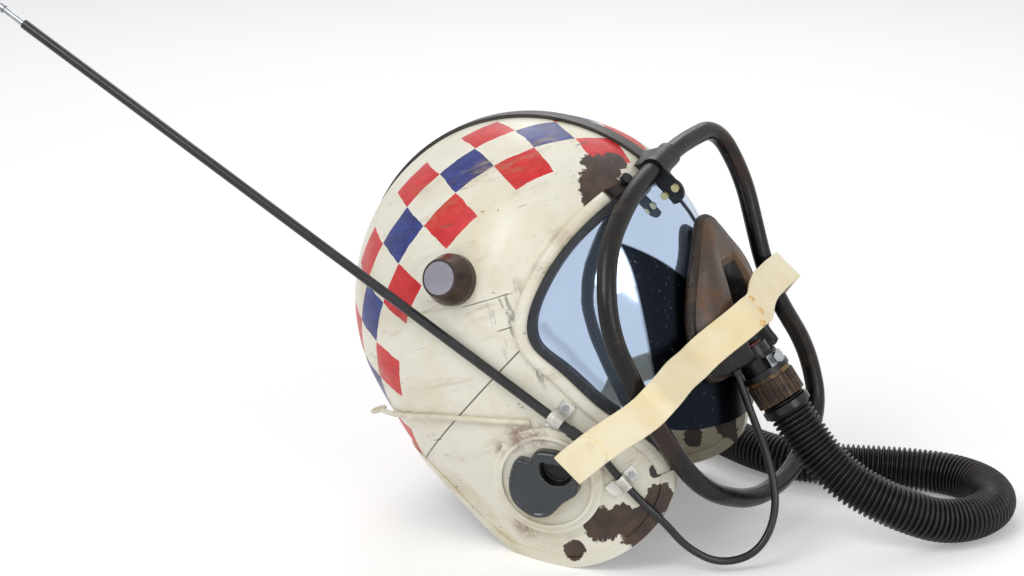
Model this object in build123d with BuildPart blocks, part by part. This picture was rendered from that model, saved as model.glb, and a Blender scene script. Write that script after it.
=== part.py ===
"""Pilot flight helmet with guard ring, mirror visor, oxygen mask, hose and telescopic antenna.

Every piece of the helmet is drawn in the head frame: millimetres, origin at the middle of
the dome, +X to the face, +Y to the wearer's left, +Z to the crown. It is then leaned back
by lean_angle to the attitude in which the helmet rests on a table. The hose and the
microphone cable lie and hang by their own weight, so they are drawn in the resting frame.
"""
import os
from math import asin, atan2, cos, degrees, pi, radians, sin, sqrt, tan

from build123d import *

os.makedirs("parts", exist_ok=True)

# Helmet shell
dome_half_l = 130.0       # middle of the dome to the front and the back
dome_half_w = 116.0       # middle of the dome to each side
dome_half_h = 128.0       # middle of the dome to the crown
shell_t = 3.0
lean_angle = 22.0         # how far the resting helmet lies back, degrees
table_drop = 150.0        # middle of the dome down to the table
over = 40.0               # overrun of every cut
fit = 0.3                 # running and seating clearance

# Trim of the shell's edges
rim_w = 9.0               # rolled bead beside the face opening
rim_proud = 4.5
seal_w = 5.0              # rubber seal in front of the face edge
seal_proud = 1.0
edging_w = 6.0            # rubber edging of the lower edge
edging_t = 1.2
strip_w = 12.0            # strip over the crown
strip_t = 2.5

# Visor, brow bar and the clamp of the guard ring
visor_gap = 4.0           # shell's outside to the visor's outside
visor_t = 2.5
visor_tuck = 7.0          # how far the visor reaches behind the shell's edge
port_round = 6.0          # corners of the opening behind the mask
brow_bar_w = 9.0
brow_bar_t = 3.0
brow_half_span = 52.0     # reach of the bar to each side
brow_bolt_d = 8.0
brow_bolt_h = 3.0
ring_x = 126.5            # middle of the dome to the ring's top
ring_d = 13.0
clamp_w = 24.0
clamp_t = 2.0
clamp_ear_r = 9.5
clamp_rivet_d = 5.5
clamp_rivet_h = 2.0
clamp_rivet_pitch = 11.0
clamp_seat = 10.0
clamp_ear_x = 6.0          # clamp's middle forward to the middle of its ear
clamp_ear_drop = 17.0

# Ear bosses, strap receivers and what the ears rest on
boss_r = 37.0
boss_h = 3.5
boss_step_w = 4.5
boss_step_h = 2.5
boss_well_r = 30.5
boss_well_depth = 2.0
receiver_w = 48.5
receiver_h = 44.0
receiver_t = 9.0
receiver_pocket_r = 14.0
receiver_pocket_depth = 6.0
ear_cup_r = 36.0
ear_cup_t = 24.0
ear_cup_hole_r = 20.0
earphone_t = 12.0

# Knob on the right side
knob_base_r = 17.0
knob_base_h = 5.0
knob_top_r = 11.0
knob_h = 12.0
knob_bore_r = 4.0
knob_lip = 1.6
knob_cap_t = 3.0
knob_cap_proud = 0.8
knob_nut_r = 8.0
knob_nut_t = 3.0
knob_shaft_head = 2.0

# Antenna and its saddle clips
antenna_d = 6.6
antenna_rod_d = 4.4
antenna_bore_d = 4.8
antenna_bore_len = 215.0
antenna_rod_len = 200.0
antenna_rod_out = 17.0
antenna_tip_d = 6.0
antenna_tip_len = 4.0
antenna_lift = 9.5        # shell to the middle of the tube at the upper clip
antenna_tail = 6.0        # upper clip to the tube's foot
ferrule_d = 7.8
ferrule_len = 14.0
clip_w = 10.0
clip_t = 1.5
clip_foot = 6.5
screw_d = 4.0
screw_h = 1.5

# Tie wire with an eye
wire_d = 3.5
eye_r = 4.5
eye_wire_d = 2.6
wire_lift = 1.2           # shell to the wire

# Liner
liner_t = 13.0
liner_edge = 14.0         # shell's edge to the liner's edge
liner_drop = 52.0         # middle of the dome down to the liner's lower edge
pad_t = 9.0
pad_half_w = 38.0
pad_band_h = 38.0
brow_pad_z = 62.0
nape_pad_drop = 10.0

# Oxygen mask
mask_wall = 2.5
mask_top = 19.0           # mask's tip over the middle of the dome
mask_bottom = 76.0        # mask's underside below the middle of the dome
mask_half_w = 40.0
mask_depth = 21.0         # mask's back to its front
mask_tail = 22.0          # how far the mask's form is drawn on behind its back
mask_edge_r = 1.5
mask_back = 120.0         # middle of the dome to the back of the mask
facepiece_t = 3.0
facepiece_out = 4.0
facepiece_wall = 3.0

# Valve housing, union nut and valves
outlet_angle = 12.8       # lean of the outlet from straight down, degrees
outlet_x = 140.0
outlet_z = -96.3
housing_r = 14.0
housing_bore_r = 11.2
housing_len = 24.5
spigot_r = 11.0           # top of the housing, through the mask's floor
spigot_len = 8.0
housing_flange_r = 17.0
housing_flange_t = 4.0
neck_r = 12.8
neck_len = 10.0
union_r = 17.0
union_len = 15.5
union_lip = 2.4
union_flute_r = 1.1
union_flute_count = 28
band_r = 16.0
band_t = 3.0
bracket_w = 12.0
bracket_h = 8.0
bracket_t = 8.0
bolt_af = 7.0
bolt_h = 5.0
valve_r = 8.5
valve_t = 1.2
valve_stem_r = 1.6
valve_lift = 1.5
seat_t = 2.0
seat_hub_r = 3.0
seat_port_at = 5.4
seat_port_r = 2.0
seat_port_count = 6
block_turn = 35.0         # place of the steel block round the outlet, degrees
exhale_r = 6.5
exhale_cap_r = 9.5
exhale_cap_t = 5.0
mic_x = 128.0
mic_y = -21.6
mic_r = 4.4
mic_capsule_t = 6.0
cable_d = 5.2
gland_d = 8.6
gland_taper = 8.0         # degrees
gland_len = 8.0

# Mask strap
strap_w = 24.0
strap_run = 116.0         # ears to the front of the mask along the strap's plane
strap_t = 2.0
strap_slope = 27.0        # climb of the strap from the ears to the mask, degrees
strap_x = 37.0
strap_z = -97.0
strap_gap = 0.4
tab_len = 31.0
stud_r = 2.2
stud_h = 1.0
stud_off = 8.0            # strap's middle line to a stud

# Hose with its tail, clamp and quick-release plug
hose_d = 30.0
hose_root_d = 25.0
hose_bore_d = 20.0
hose_rib_pitch = 5.0
tail_flange_t = 2.5
tail_r = 9.7
tail_len = 18.0
tail_bore_r = 8.0
hose_band_t = 1.5
hose_band_w = 5.0
plug_r = 11.0
plug_len = 34.0
plug_collar_r = 14.6
plug_collar_len = 24.0
plug_bore_r = 7.0
plug_groove_w = 2.6
plug_seal_sunk = 0.1

rest = Location((0, 0, 0), (0, -lean_angle, 0))

# How the shell below the middle of the dome draws in, as shares of its half sizes
taper_power, taper_len_share, taper_shift_share, taper_width_share = 1.4, 0.162, 0.086, 0.073
level_shares = (0.0, 0.2, 0.5, 0.85, 1.4)

# Side outline, as shares of dome_half_l and dome_half_h, from the brow down to the cheek
brow_shares = (0.94, 0.5)
face_shares = [(0.708, 0.406), (0.408, 0.172), (0.292, -0.078), (0.362, -0.234), (0.485, -0.508),
               (0.608, -0.727), (0.654, -0.977), (0.577, -1.117), (0.40, -1.234)]
rest_shares = (0.0154, -0.277)            # front and back of the edge that rests on the table
nape_shares = [(-0.5, -0.859), (-0.731, -0.586), (-0.908, -0.531)]
seam_shares = ((0.285, -0.06), (-0.70, -0.575))
visor_shares = [(0.62, -0.70), (0.74, -0.79), (0.80, -0.83), (0.93, -0.905)]

# Features on the shell, as shares of dome_half_l and dome_half_h
ear_shares = (0.115, -0.775)
knob_shares = (-0.004, 0.348)
clip_shares = (0.30, -0.475)
low_clip_shares = (0.461, -0.909)
antenna_far_shares = (-1.846, -1.075, 2.453)
wire_shares = [(0.15, -0.455), (-0.004, -0.407), (-0.226, -0.341), (-0.42, -0.302), (-0.60, -0.287),
               (-0.72, -0.284)]
wire_end_shares = (-0.925, -0.45, -0.275)

# Guard ring's outline, as shares of dome_half_w and dome_half_h, and the slant of its plane
ring_shares = [(0.12, 0.55), (0.56, 0.545), (0.68, 0.23), (0.60, -0.36), (0.80, -0.80), (0.74, -1.12),
               (0.26, -1.335), (-0.22, -1.325), (-0.70, -1.09), (-0.96, -0.56), (-1.065, -0.10),
               (-0.86, 0.25), (-0.46, 0.45)]
ring_slant, ring_tuck = 0.20, 0.05

# Mask's level sections: height as a share, then depth and half widths as shares
mask_shares = [(1.0, 0.64, 0.18, 0.08), (-0.13, 0.80, 0.62, 0.17), (-0.59, 0.98, 1.0, 0.33),
               (-1.0, 1.35, 0.97, 0.50)]
# Receiver's heart-like outline, as shares of its width and height from the boss's middle
heart_shares = [(-0.34, 0.45), (-0.06, 0.37), (0.07, 0.55), (0.27, 0.48), (0.53, 0.05), (0.41, -0.11),
                (0.27, -0.31), (-0.06, -0.43), (-0.37, -0.32), (-0.48, -0.07), (-0.47, 0.21)]
mask_inset_share = 0.6
exhale_share = 0.55
# Opening behind the mask, from its upper right corner round, as shares of mask_half_w and mask_bottom
port_corners = [(-1, (0.28, -0.07)), (1, (0.28, -0.07)), (1, (0.75, -0.76)), (1, (0.60, -0.84)),
                (-1, (0.60, -0.84)), (-1, (0.75, -0.76))]
visor_top_share = 0.53
brow_bolt_shares = (0.81, 0.49)
strip_shares = [(0.70, 0.5), (0.88, 0.5), (0.88, 1.2), (-0.9, 1.2), (-0.9, 0.40), (-0.70, 0.40)]
strap_ease_share = 0.3
clip_ease_share = 0.5     # shorter arcs beside the low clip, where the cable runs straight
clamp_share = 0.62        # place of the clamp along the ring's top run
rivet_angle = -20.0       # degrees
pocket_shares = (0.36, 0.28)
# Strap's route in its plane, as shares of strap_run and dome_half_w
strap_shares = [(0.02, -1.07), (0.735, -1.078), (0.775, -0.455), (1.064, -0.135), (1.064, 0.135), (1.092, 0.70),
                (0.60, 1.03), (0.02, 1.07)]
# Routes of the microphone cable and the hose, in the resting frame
cable_route = [(124, -92, -112), (138, -84, -132), (158, -74, -144), (180, -60, -138), (188, -47, -112),
               (178, -35, -82), (162, -25, -56)]
hose_route = [(206, 0, -90), (222, 0, -103), (240, 3, -113), (260, 9, -122), (281, 22, -131.5), (300, 44, -134.8),
              (309, 76, -134.8), (296, 106, -134.8), (268, 122, -134.8), (232, 121, -134.8), (201, 114, -134.8),
              (174, 107, -134.8), (148, 108, -134.8), (122, 118, -134.8), (97, 134, -134.8), (70, 153, -134.8),
              (44, 170, -134.8), (16, 180, -134.8), (-16, 186, -134.8)]


def section(drop, inset):
    """Length, width and shift of the shell's level section, drop below the dome's middle."""
    share = drop / dome_half_h
    half_l = dome_half_l * (1 - taper_len_share * share ** taper_power) - inset
    half_w = dome_half_w * (1 - taper_width_share * share ** 2) - inset
    return half_l, half_w, dome_half_l * taper_shift_share * share ** taper_power


def body(inset):
    """The helmet as a closed solid whose surface lies inset inside the shell's outside."""
    with BuildPart() as solid:
        add(scale(Sphere(1, mode=Mode.PRIVATE),
                  by=(dome_half_l - inset, dome_half_w - inset, dome_half_h - inset)))
        split(bisect_by=Plane.XY, keep=Keep.TOP)
        for share in level_shares:
            half_l, half_w, shift = section(share * dome_half_h, inset)
            with BuildSketch(Plane((shift, 0, -share * dome_half_h))):
                Ellipse(half_l, half_w)
        loft()
    return solid.part


def skin(x, z, side, proud=0.0):
    """The point at x and z on one side of the shell, proud of its outside."""
    if z >= 0:
        rise = 1 - (z / (dome_half_h + proud)) ** 2 - (x / (dome_half_l + proud)) ** 2
        half_w = dome_half_w + proud
    else:
        half_l, half_w, shift = section(-z, -proud)
        rise = 1 - ((x - shift) / half_l) ** 2
    return Vector(x, side * half_w * sqrt(max(rise, 0.0)), z)


def skin_plane(x, z, side, x_dir):
    """A plane on the shell's outside, its Z pointing outward."""
    step = shell_t
    here = skin(x, z, side)
    along = skin(x + step, z, side) - here
    up = skin(x, z + step, side) - here
    out = along.cross(up).normalized()
    return Plane(origin=here, x_dir=x_dir, z_dir=out if out.Y * side > 0 else out * -1)


def side_point(shares):
    return (shares[0] * dome_half_l, shares[1] * dome_half_h)


def table_z(x):
    """Height of the table under x, in the head frame."""
    return (-table_drop - x * sin(radians(lean_angle))) / cos(radians(lean_angle))


def both(piece):
    """The same piece on the left side."""
    return mirror(piece, about=Plane.XZ)


def save(piece, label, leaned=True):
    """Lean a piece back to the resting attitude, name it and write it."""
    if leaned:
        piece.part = piece.part.moved(rest)
    piece.part.label = label
    export_step(piece.part, f"parts/{label}.step")


def side_outline(inset):
    """Side view of the covered part of the head, drawn in by inset and open past the nose."""
    front, back = [share * dome_half_l for share in rest_shares]
    lift = edging_t / cos(radians(lean_angle))
    face = [side_point(shares) for shares in (brow_shares, *face_shares)]
    rest_line = [(front, table_z(front) + lift), (back, table_z(back) + lift)]
    chain = [*face, *rest_line, *[side_point(shares) for shares in nape_shares]]
    moved = []
    for here in range(len(chain)):
        first, last = max(here - 1, 0), min(here + 1, len(chain) - 1)
        if chain[here] in rest_line:
            first, last = len(face), len(face) + 1
        run = Vector(*chain[last]) - Vector(*chain[first])
        moved.append(Vector(*chain[here]) + Vector(run.Y, -run.X).normalized() * inset)
    behind, above, ahead = -dome_half_l - over, dome_half_h + over, dome_half_l + over
    with BuildSketch(Plane.XZ) as outline:
        with BuildLine():
            Spline(moved[:len(face) + 1])
            Line(moved[len(face)], moved[len(face) + 1])
            Spline(moved[len(face) + 1:])
            Polyline(moved[-1], (behind, moved[-1].Y), (behind, above), (ahead, above), (ahead, moved[0].Y),
                     moved[0])
        make_face()
    return outline.sketch


def across(sketch):
    """The side view sketch as a prism through the whole width of the head."""
    return extrude(sketch, amount=dome_half_w + over, both=True)


def layer(outer, inner):
    """The skin between two insets of the helmet's body."""
    return body(outer) - body(inner)


def face_side(top):
    """Prism round the face opening, from the cheeks up to top, a share of dome_half_h."""
    back, front = 0.2 * dome_half_l, dome_half_l + over
    low, high = -0.95 * dome_half_h, top * dome_half_h
    with BuildSketch(Plane.XZ) as area:
        with BuildLine():
            Polyline((back, low), (front, low), (front, high), (back, high), close=True)
        make_face()
    return across(area.sketch)


covered = across(side_outline(0))
outside = body(0)

knob_plane = skin_plane(*side_point(knob_shares), -1, (1, 0, 0))

# The shell in three pressings that meet at the seam
seam_front, seam_back = [side_point(s) for s in seam_shares]
seam_dir = Vector(seam_front[0] - seam_back[0], 0, seam_front[1] - seam_back[1]).normalized()
seam_cut = Plane(origin=(seam_front[0], 0, seam_front[1]), x_dir=seam_dir,
                 z_dir=Vector(-seam_dir.Z, 0, seam_dir.X))
with BuildPart() as whole_shell:
    add(outside)
    add(body(shell_t), mode=Mode.SUBTRACT)
    add(covered, mode=Mode.INTERSECT)
with BuildPart() as crown_shell:
    add(whole_shell.part)
    split(bisect_by=seam_cut, keep=Keep.TOP)
    with BuildSketch(knob_plane):
        Circle(knob_bore_r + fit)
    extrude(amount=over, both=True, mode=Mode.SUBTRACT)
with BuildPart() as cheek_shell_right:
    add(whole_shell.part)
    split(bisect_by=seam_cut, keep=Keep.BOTTOM)
    split(bisect_by=Plane.XZ, keep=Keep.TOP)
with BuildPart() as cheek_shell_left:
    add(both(cheek_shell_right.part))

# Skins and bands that the trims are cut from
face_zone = face_side(brow_shares[1])
wide_face_zone = face_side(brow_shares[1] + 0.6)
bead_skin, bead_band = layer(-rim_proud, 0), across(side_outline(0) - side_outline(rim_w))
bar_skin, bar_band = layer(-brow_bar_t, 0), across(side_outline(0) - side_outline(brow_bar_w))
seal_skin, seal_band = layer(-seal_proud, visor_gap), across(side_outline(-seal_w) - side_outline(0))
edging_skin = layer(-edging_t, shell_t + edging_t)
edging_band = across(side_outline(-edging_t) - side_outline(edging_w))

# Rolled bead beside the face opening, one on each side, and the bar that joins them at the brow
with BuildPart() as face_bead:
    add(bead_skin)
    add(bead_band, mode=Mode.INTERSECT)
    add(face_zone, mode=Mode.INTERSECT)
    Box(4 * dome_half_l, 2 * brow_half_span, 4 * dome_half_h, mode=Mode.SUBTRACT)
with BuildPart() as face_rim_right:
    add(face_bead.part)
    split(bisect_by=Plane.XZ, keep=Keep.TOP)
with BuildPart() as brow_bar:
    add(bar_skin)
    add(bar_band, mode=Mode.INTERSECT)
    add(face_zone, mode=Mode.INTERSECT)
    Box(4 * dome_half_l, 2 * (brow_half_span - fit), 4 * dome_half_h, mode=Mode.INTERSECT)

# Rubber seal in front of the face edge and rubber edging over the lower edge
with BuildPart() as edge_seal:
    add(seal_skin)
    add(seal_band, mode=Mode.INTERSECT)
    add(wide_face_zone, mode=Mode.INTERSECT)
with BuildPart() as lower_edging:
    add(edging_skin)
    add(edging_band, mode=Mode.INTERSECT)
    add(wide_face_zone, mode=Mode.SUBTRACT)
    add(whole_shell.part, mode=Mode.SUBTRACT)
with BuildPart() as face_rim_left:
    add(both(face_rim_right.part))

# Visor behind the face opening, with an opening behind the mask
visor_low = [side_point(shares) for shares in visor_shares]
visor_rear, visor_fore = 0.1 * dome_half_l, dome_half_l + over
with BuildSketch(Plane.XZ) as visor_view:
    with BuildLine():
        Polyline((visor_rear, visor_low[0][1]), *visor_low, (visor_fore, visor_low[-1][1]),
                 (visor_fore, visor_top_share * dome_half_h), (visor_rear, dome_half_h), close=True)
    make_face()
visor_skin = layer(visor_gap, visor_gap + visor_t)
visor_band = across(visor_view.sketch - side_outline(visor_tuck))


def port(inset, reach):
    """Prism of the opening behind the mask, drawn in by inset and reach long."""
    corners = [(side * share[0] * mask_half_w, share[1] * mask_bottom) for side, share in port_corners]
    with BuildPart() as prism:
        with BuildSketch(Plane.YZ.offset(mask_back - reach)):
            with BuildLine():
                FilletPolyline(*corners, radius=port_round, close=True)
            make_face()
            if inset:
                offset(amount=-inset)
        extrude(amount=reach + over)
    return prism.part


port_hole = port(0, over)
with BuildPart() as visor:
    add(visor_skin)
    add(visor_band, mode=Mode.INTERSECT)
    add(port_hole, mode=Mode.SUBTRACT)

# Strip over the crown, from the brow bar to the back of the dome
with BuildSketch(Plane.XZ) as strip_view:
    with BuildLine():
        Polyline(*[side_point(shares) for shares in strip_shares], close=True)
    make_face()
strip_skin = layer(-strip_t, 0)
strip_band = extrude(strip_view.sketch, amount=strip_w / 2, both=True)
with BuildPart() as crown_strip:
    add(strip_skin)
    add(strip_band, mode=Mode.INTERSECT)

# Black bolts near the ends of the brow bar
bolt_x, bolt_z = side_point(brow_bolt_shares)
bolt_plane = skin_plane(bolt_x, bolt_z, -1, (0, 0, 1))
bar_body = body(-brow_bar_t)
with BuildPart() as brow_bolt_right:
    with BuildSketch(bolt_plane):
        Circle(brow_bolt_d / 2)
    extrude(amount=brow_bar_t + brow_bolt_h)
    add(bar_body, mode=Mode.SUBTRACT)
with BuildPart() as brow_bolts:
    add(brow_bolt_right.part)
    add(both(brow_bolt_right.part))


def on_ring(shares):
    """A point of the guard ring's slanted plane, for shares of dome_half_w and dome_half_h."""
    side, up = shares[0] * dome_half_w, shares[1] * dome_half_h
    return Vector(ring_x + ring_slant * side + ring_tuck * (up - brow_shares[1] * dome_half_h), side, up)


def bend_radii(points, closed, ease=0.45):
    """Largest tangent arc at each corner of a route, from the shorter run beside it."""
    count = len(points)
    radii = []
    for here in range(count) if closed else range(1, count - 1):
        before, after = points[here] - points[here - 1], points[(here + 1) % count] - points[here]
        radii.append(ease * min(before.length, after.length) / tan(radians(before.get_angle(after)) / 2))
    return radii


# Guard ring: one bent tube in a slanted plane before the face
ring_points = [on_ring(shares) for shares in ring_shares]
with BuildPart() as guard_ring:
    with BuildLine():
        ring_line = FilletPolyline(*ring_points, radius=bend_radii(ring_points, True), close=True)
    with BuildSketch(Plane(origin=ring_line @ 0, z_dir=ring_line % 0)):
        Circle(ring_d / 2)
    sweep()

# Clamp round the top of the ring, seated on the brow bar, with an ear plate and two rivets
top_run = (ring_points[0] - ring_points[-1]).normalized()
clamp_at = ring_points[-1] + top_run * (ring_points[0] - ring_points[-1]).length * clamp_share
clamp_plane = Plane(origin=clamp_at, x_dir=(1, 0, 0), z_dir=top_run)
rivet_step = Vector(cos(radians(rivet_angle)), sin(radians(rivet_angle)), 0) * clamp_rivet_pitch / 2
with BuildPart() as ring_clamp:
    with BuildSketch(clamp_plane.offset(-clamp_w / 2)):
        Circle(ring_d / 2 + clamp_t)
        with Locations((-ring_d / 2 - clamp_seat / 2, 0)):
            Rectangle(clamp_seat, ring_d)
    extrude(amount=clamp_w)
    with BuildSketch(clamp_plane.offset(-clamp_w / 2)):
        with BuildLine():
            Polyline((0, 0), (clamp_ear_x - clamp_ear_r, clamp_ear_drop), (clamp_ear_x + clamp_ear_r, clamp_ear_drop),
                     (ring_d / 2 + clamp_t, 0), close=True)
        make_face()
        with Locations((clamp_ear_x, clamp_ear_drop)):
            Circle(clamp_ear_r)
    extrude(amount=clamp_t)
    with BuildSketch(clamp_plane.offset(-clamp_w)):
        Circle(ring_d / 2)
    extrude(amount=2 * clamp_w, mode=Mode.SUBTRACT)
    add(guard_ring.part, mode=Mode.SUBTRACT)
    add(bar_body, mode=Mode.SUBTRACT)
with BuildPart() as clamp_rivets:
    with BuildSketch(clamp_plane.offset(-clamp_w / 2 - clamp_rivet_h)):
        with Locations((clamp_ear_x + rivet_step.X, clamp_ear_drop + rivet_step.Y),
                       (clamp_ear_x - rivet_step.X, clamp_ear_drop - rivet_step.Y)):
            Circle(clamp_rivet_d / 2)
    extrude(amount=clamp_rivet_h)

# Ear boss: stepped disc on the cheek, its well taking the strap's receiver
view_dir = (cos(radians(lean_angle)), 0, -sin(radians(lean_angle)))
ear_plane = skin_plane(*side_point(ear_shares), -1, view_dir)
boss_top = boss_h + boss_step_h
well_floor = boss_top - boss_well_depth
with BuildPart() as ear_boss_right:
    with BuildSketch(ear_plane.offset(-boss_h * 3)):
        Circle(boss_r)
    extrude(amount=boss_h * 4)
    with BuildSketch(ear_plane.offset(boss_h)):
        Circle(boss_r - boss_step_w)
    extrude(amount=boss_step_h)
    with BuildSketch(ear_plane.offset(well_floor)):
        Circle(boss_well_r)
    extrude(amount=boss_h, mode=Mode.SUBTRACT)
    add(outside, mode=Mode.SUBTRACT)
with BuildPart() as ear_boss_left:
    add(both(ear_boss_right.part))

# Strap of the mask: a band over the ring, round the mask's front, in one slanted plane
strap_plane = Plane(origin=(strap_x, 0, strap_z), x_dir=(cos(radians(strap_slope)), 0, sin(radians(strap_slope))),
                    z_dir=(-sin(radians(strap_slope)), 0, cos(radians(strap_slope))))
strap_points = [Vector(share[0] * strap_run, share[1] * dome_half_w) for share in strap_shares]
strap_radii = bend_radii(strap_points, False, strap_ease_share)
strap_radii[0] = strap_radii[4] = ring_d / 2 + strap_t + strap_gap      # corners over the ring


def strap_band_at(gap, thick, width, points):
    """Band of the strap's route, gap outside its inner face."""
    with BuildPart() as band:
        with BuildSketch(strap_plane.offset(-width / 2)):
            with BuildLine():
                FilletPolyline(*points, radius=strap_radii)
            trace(line_width=thick)
        extrude(amount=width)
    return band.part


strap_body = strap_band_at(0, strap_t, strap_w, strap_points)
strap_room = strap_band_at(0, strap_t + 2 * strap_gap, strap_w + 2 * strap_gap, strap_points)
with BuildPart() as mask_strap:
    add(strap_body)
tab_start, tab_bend = strap_points[0], strap_points[1]
tab_out = Vector(tab_bend.Y - tab_start.Y, tab_start.X - tab_bend.X).normalized() * (strap_t + fit / 3)
tab_points = [tab_start + tab_out, tab_start + tab_out + (tab_bend - tab_start).normalized() * tab_len]
with BuildPart() as strap_end_tab:
    with BuildSketch(strap_plane.offset(-strap_w / 2)):
        with BuildLine():
            Line(*tab_points)
        trace(line_width=strap_t)
    extrude(amount=strap_w)
    fillet(strap_end_tab.edges().filter_by(lambda edge: abs(edge.length - strap_t) < fit).sort_by(Axis.X)[-2:],
           strap_w * 0.4)

# Receiver: a heart-like moulding in the boss's well with a pocket for the strap's end
with BuildPart() as receiver_right:
    with BuildSketch(ear_plane.offset(well_floor)):
        with BuildLine():
            Spline([(share[0] * receiver_w, share[1] * receiver_h) for share in heart_shares], periodic=True)
        make_face()
    extrude(amount=receiver_t)
    with BuildSketch(ear_plane.offset(well_floor + receiver_t)):
        with Locations((pocket_shares[0] * receiver_w, pocket_shares[1] * receiver_h)):
            Circle(receiver_pocket_r)
    extrude(amount=-receiver_pocket_depth, mode=Mode.SUBTRACT)
    add(strap_room, mode=Mode.SUBTRACT)
with BuildPart() as receiver_left:
    add(both(receiver_right.part))
with BuildPart() as strap_studs:
    for first, share in ((2, 0.60), (3, 0.5)):
        run = strap_points[first + 1] - strap_points[first]
        out = Vector(run.Y, -run.X).normalized()
        spot = strap_points[first] + run * share + out * (strap_t / 2)
        for side in (-1, 1):
            at = strap_plane.from_local_coords(Vector(spot.X, spot.Y, side * stud_off))
            with BuildSketch(Plane(origin=at, z_dir=strap_plane.from_local_coords(out) - strap_plane.origin)):
                Circle(stud_r)
            extrude(amount=stud_h)

# Knob on the right side: fixed base, turning skirt with its cap, shaft and nut through the shell
knob_foot = knob_base_h + fit
with BuildPart() as knob_base:
    with BuildSketch(knob_plane.offset(-knob_base_h)):
        Circle(knob_base_r)
    extrude(amount=2 * knob_base_h)
    with BuildSketch(knob_plane.offset(-2 * knob_base_h)):
        Circle(knob_bore_r + fit)
    extrude(amount=4 * knob_base_h, mode=Mode.SUBTRACT)
    add(outside, mode=Mode.SUBTRACT)
with BuildPart() as knob:
    with BuildSketch(knob_plane.offset(knob_foot)):
        Circle(knob_base_r)
    extrude(amount=knob_h, taper=degrees(atan2(knob_base_r - knob_top_r - knob_lip, knob_h)))
    with BuildSketch(knob_plane.offset(knob_foot + knob_h)):
        Circle(knob_top_r)
    extrude(amount=-knob_cap_t, mode=Mode.SUBTRACT)
    with BuildSketch(knob_plane.offset(knob_foot)):
        Circle(knob_bore_r)
    extrude(amount=knob_h, mode=Mode.SUBTRACT)
with BuildPart() as knob_cap:
    with BuildSketch(knob_plane.offset(knob_foot + knob_h - knob_cap_t)):
        Circle(knob_top_r - fit / 2)
    extrude(amount=knob_cap_t + knob_cap_proud)
with BuildPart() as knob_shaft:
    with BuildSketch(knob_plane.offset(-shell_t - knob_nut_t - knob_shaft_head)):
        Circle(knob_bore_r - fit / 2)
    extrude(amount=shell_t + knob_nut_t + knob_shaft_head + knob_foot + knob_h - knob_cap_t)
with BuildPart() as knob_nut:
    with BuildSketch(knob_plane.offset(-shell_t - 2 * fit - knob_nut_t)):
        RegularPolygon(knob_nut_r, 6)
        Circle(knob_bore_r, mode=Mode.SUBTRACT)
    extrude(amount=knob_nut_t)

# Antenna: tube, sliding rod with its tip, and the ferrule at its foot
antenna_low = skin(*side_point(clip_shares), -1) + Vector(0, -antenna_lift, 0)
antenna_far = Vector(antenna_far_shares[0] * dome_half_l, antenna_far_shares[1] * dome_half_w,
                     antenna_far_shares[2] * dome_half_h)
antenna_dir = (antenna_far - antenna_low).normalized()
antenna_foot = antenna_low - antenna_dir * (clip_w / 2 + antenna_tail)
antenna_len = (antenna_far - antenna_foot).length
antenna_plane = Plane(origin=antenna_foot, x_dir=(0, 1, 0), z_dir=antenna_dir)
tube_len = antenna_len - antenna_rod_out - antenna_tip_len
with BuildPart() as antenna_tube:
    with BuildSketch(antenna_plane):
        Circle(antenna_d / 2)
    extrude(amount=tube_len)
    with BuildSketch(antenna_plane.offset(tube_len - antenna_bore_len)):
        Circle(antenna_bore_d / 2)
    extrude(amount=antenna_bore_len, mode=Mode.SUBTRACT)
with BuildPart() as antenna_rod:
    with BuildSketch(antenna_plane.offset(tube_len - antenna_rod_len)):
        Circle(antenna_rod_d / 2)
    extrude(amount=antenna_rod_len + antenna_rod_out)
    with BuildSketch(antenna_plane.offset(tube_len + antenna_rod_out)):
        Circle(antenna_tip_d / 2)
    extrude(amount=antenna_tip_len)
with BuildPart() as antenna_ferrule:
    with BuildSketch(antenna_plane.offset(-ferrule_len)):
        Circle(ferrule_d / 2)
    extrude(amount=ferrule_len)

# Microphone cable: from the ferrule through the low clip, down to the table and up to the mask
low_clip_at = skin(*side_point(low_clip_shares), -1, cable_d / 2 + fit)
low_out = skin_plane(*side_point(low_clip_shares), -1, (1, 0, 0)).z_dir
ferrule_end = antenna_foot - antenna_dir * ferrule_len
low_run = low_clip_at - ferrule_end
low_dir = (low_run - low_out * low_run.dot(low_out)).normalized()


def leaned(point):
    """A point of the head frame in the resting frame."""
    return (rest * Location(Vector(*point))).position


mic_at = Vector(mic_x, mic_y, -mask_bottom)
cable_points = [leaned(ferrule_end), leaned(ferrule_end - antenna_dir * ferrule_len * 0.8),
                leaned(low_clip_at - low_dir * clip_w * 1.3), leaned(low_clip_at + low_dir * clip_w * 1.3),
                *[Vector(*point) for point in cable_route],
                leaned(mic_at - Vector(0, 0, gland_len * 2.2)), leaned(mic_at - Vector(0, 0, gland_len))]
cable_radii = bend_radii(cable_points, False)
cable_radii[1:3] = [radius * clip_ease_share for radius in cable_radii[1:3]]
with BuildPart() as mic_cable:
    with BuildLine():
        cable_line = FilletPolyline(*cable_points, radius=cable_radii)
    with BuildSketch(Plane(origin=cable_line @ 0, z_dir=cable_line % 0)):
        Circle(cable_d / 2)
    sweep()


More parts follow.
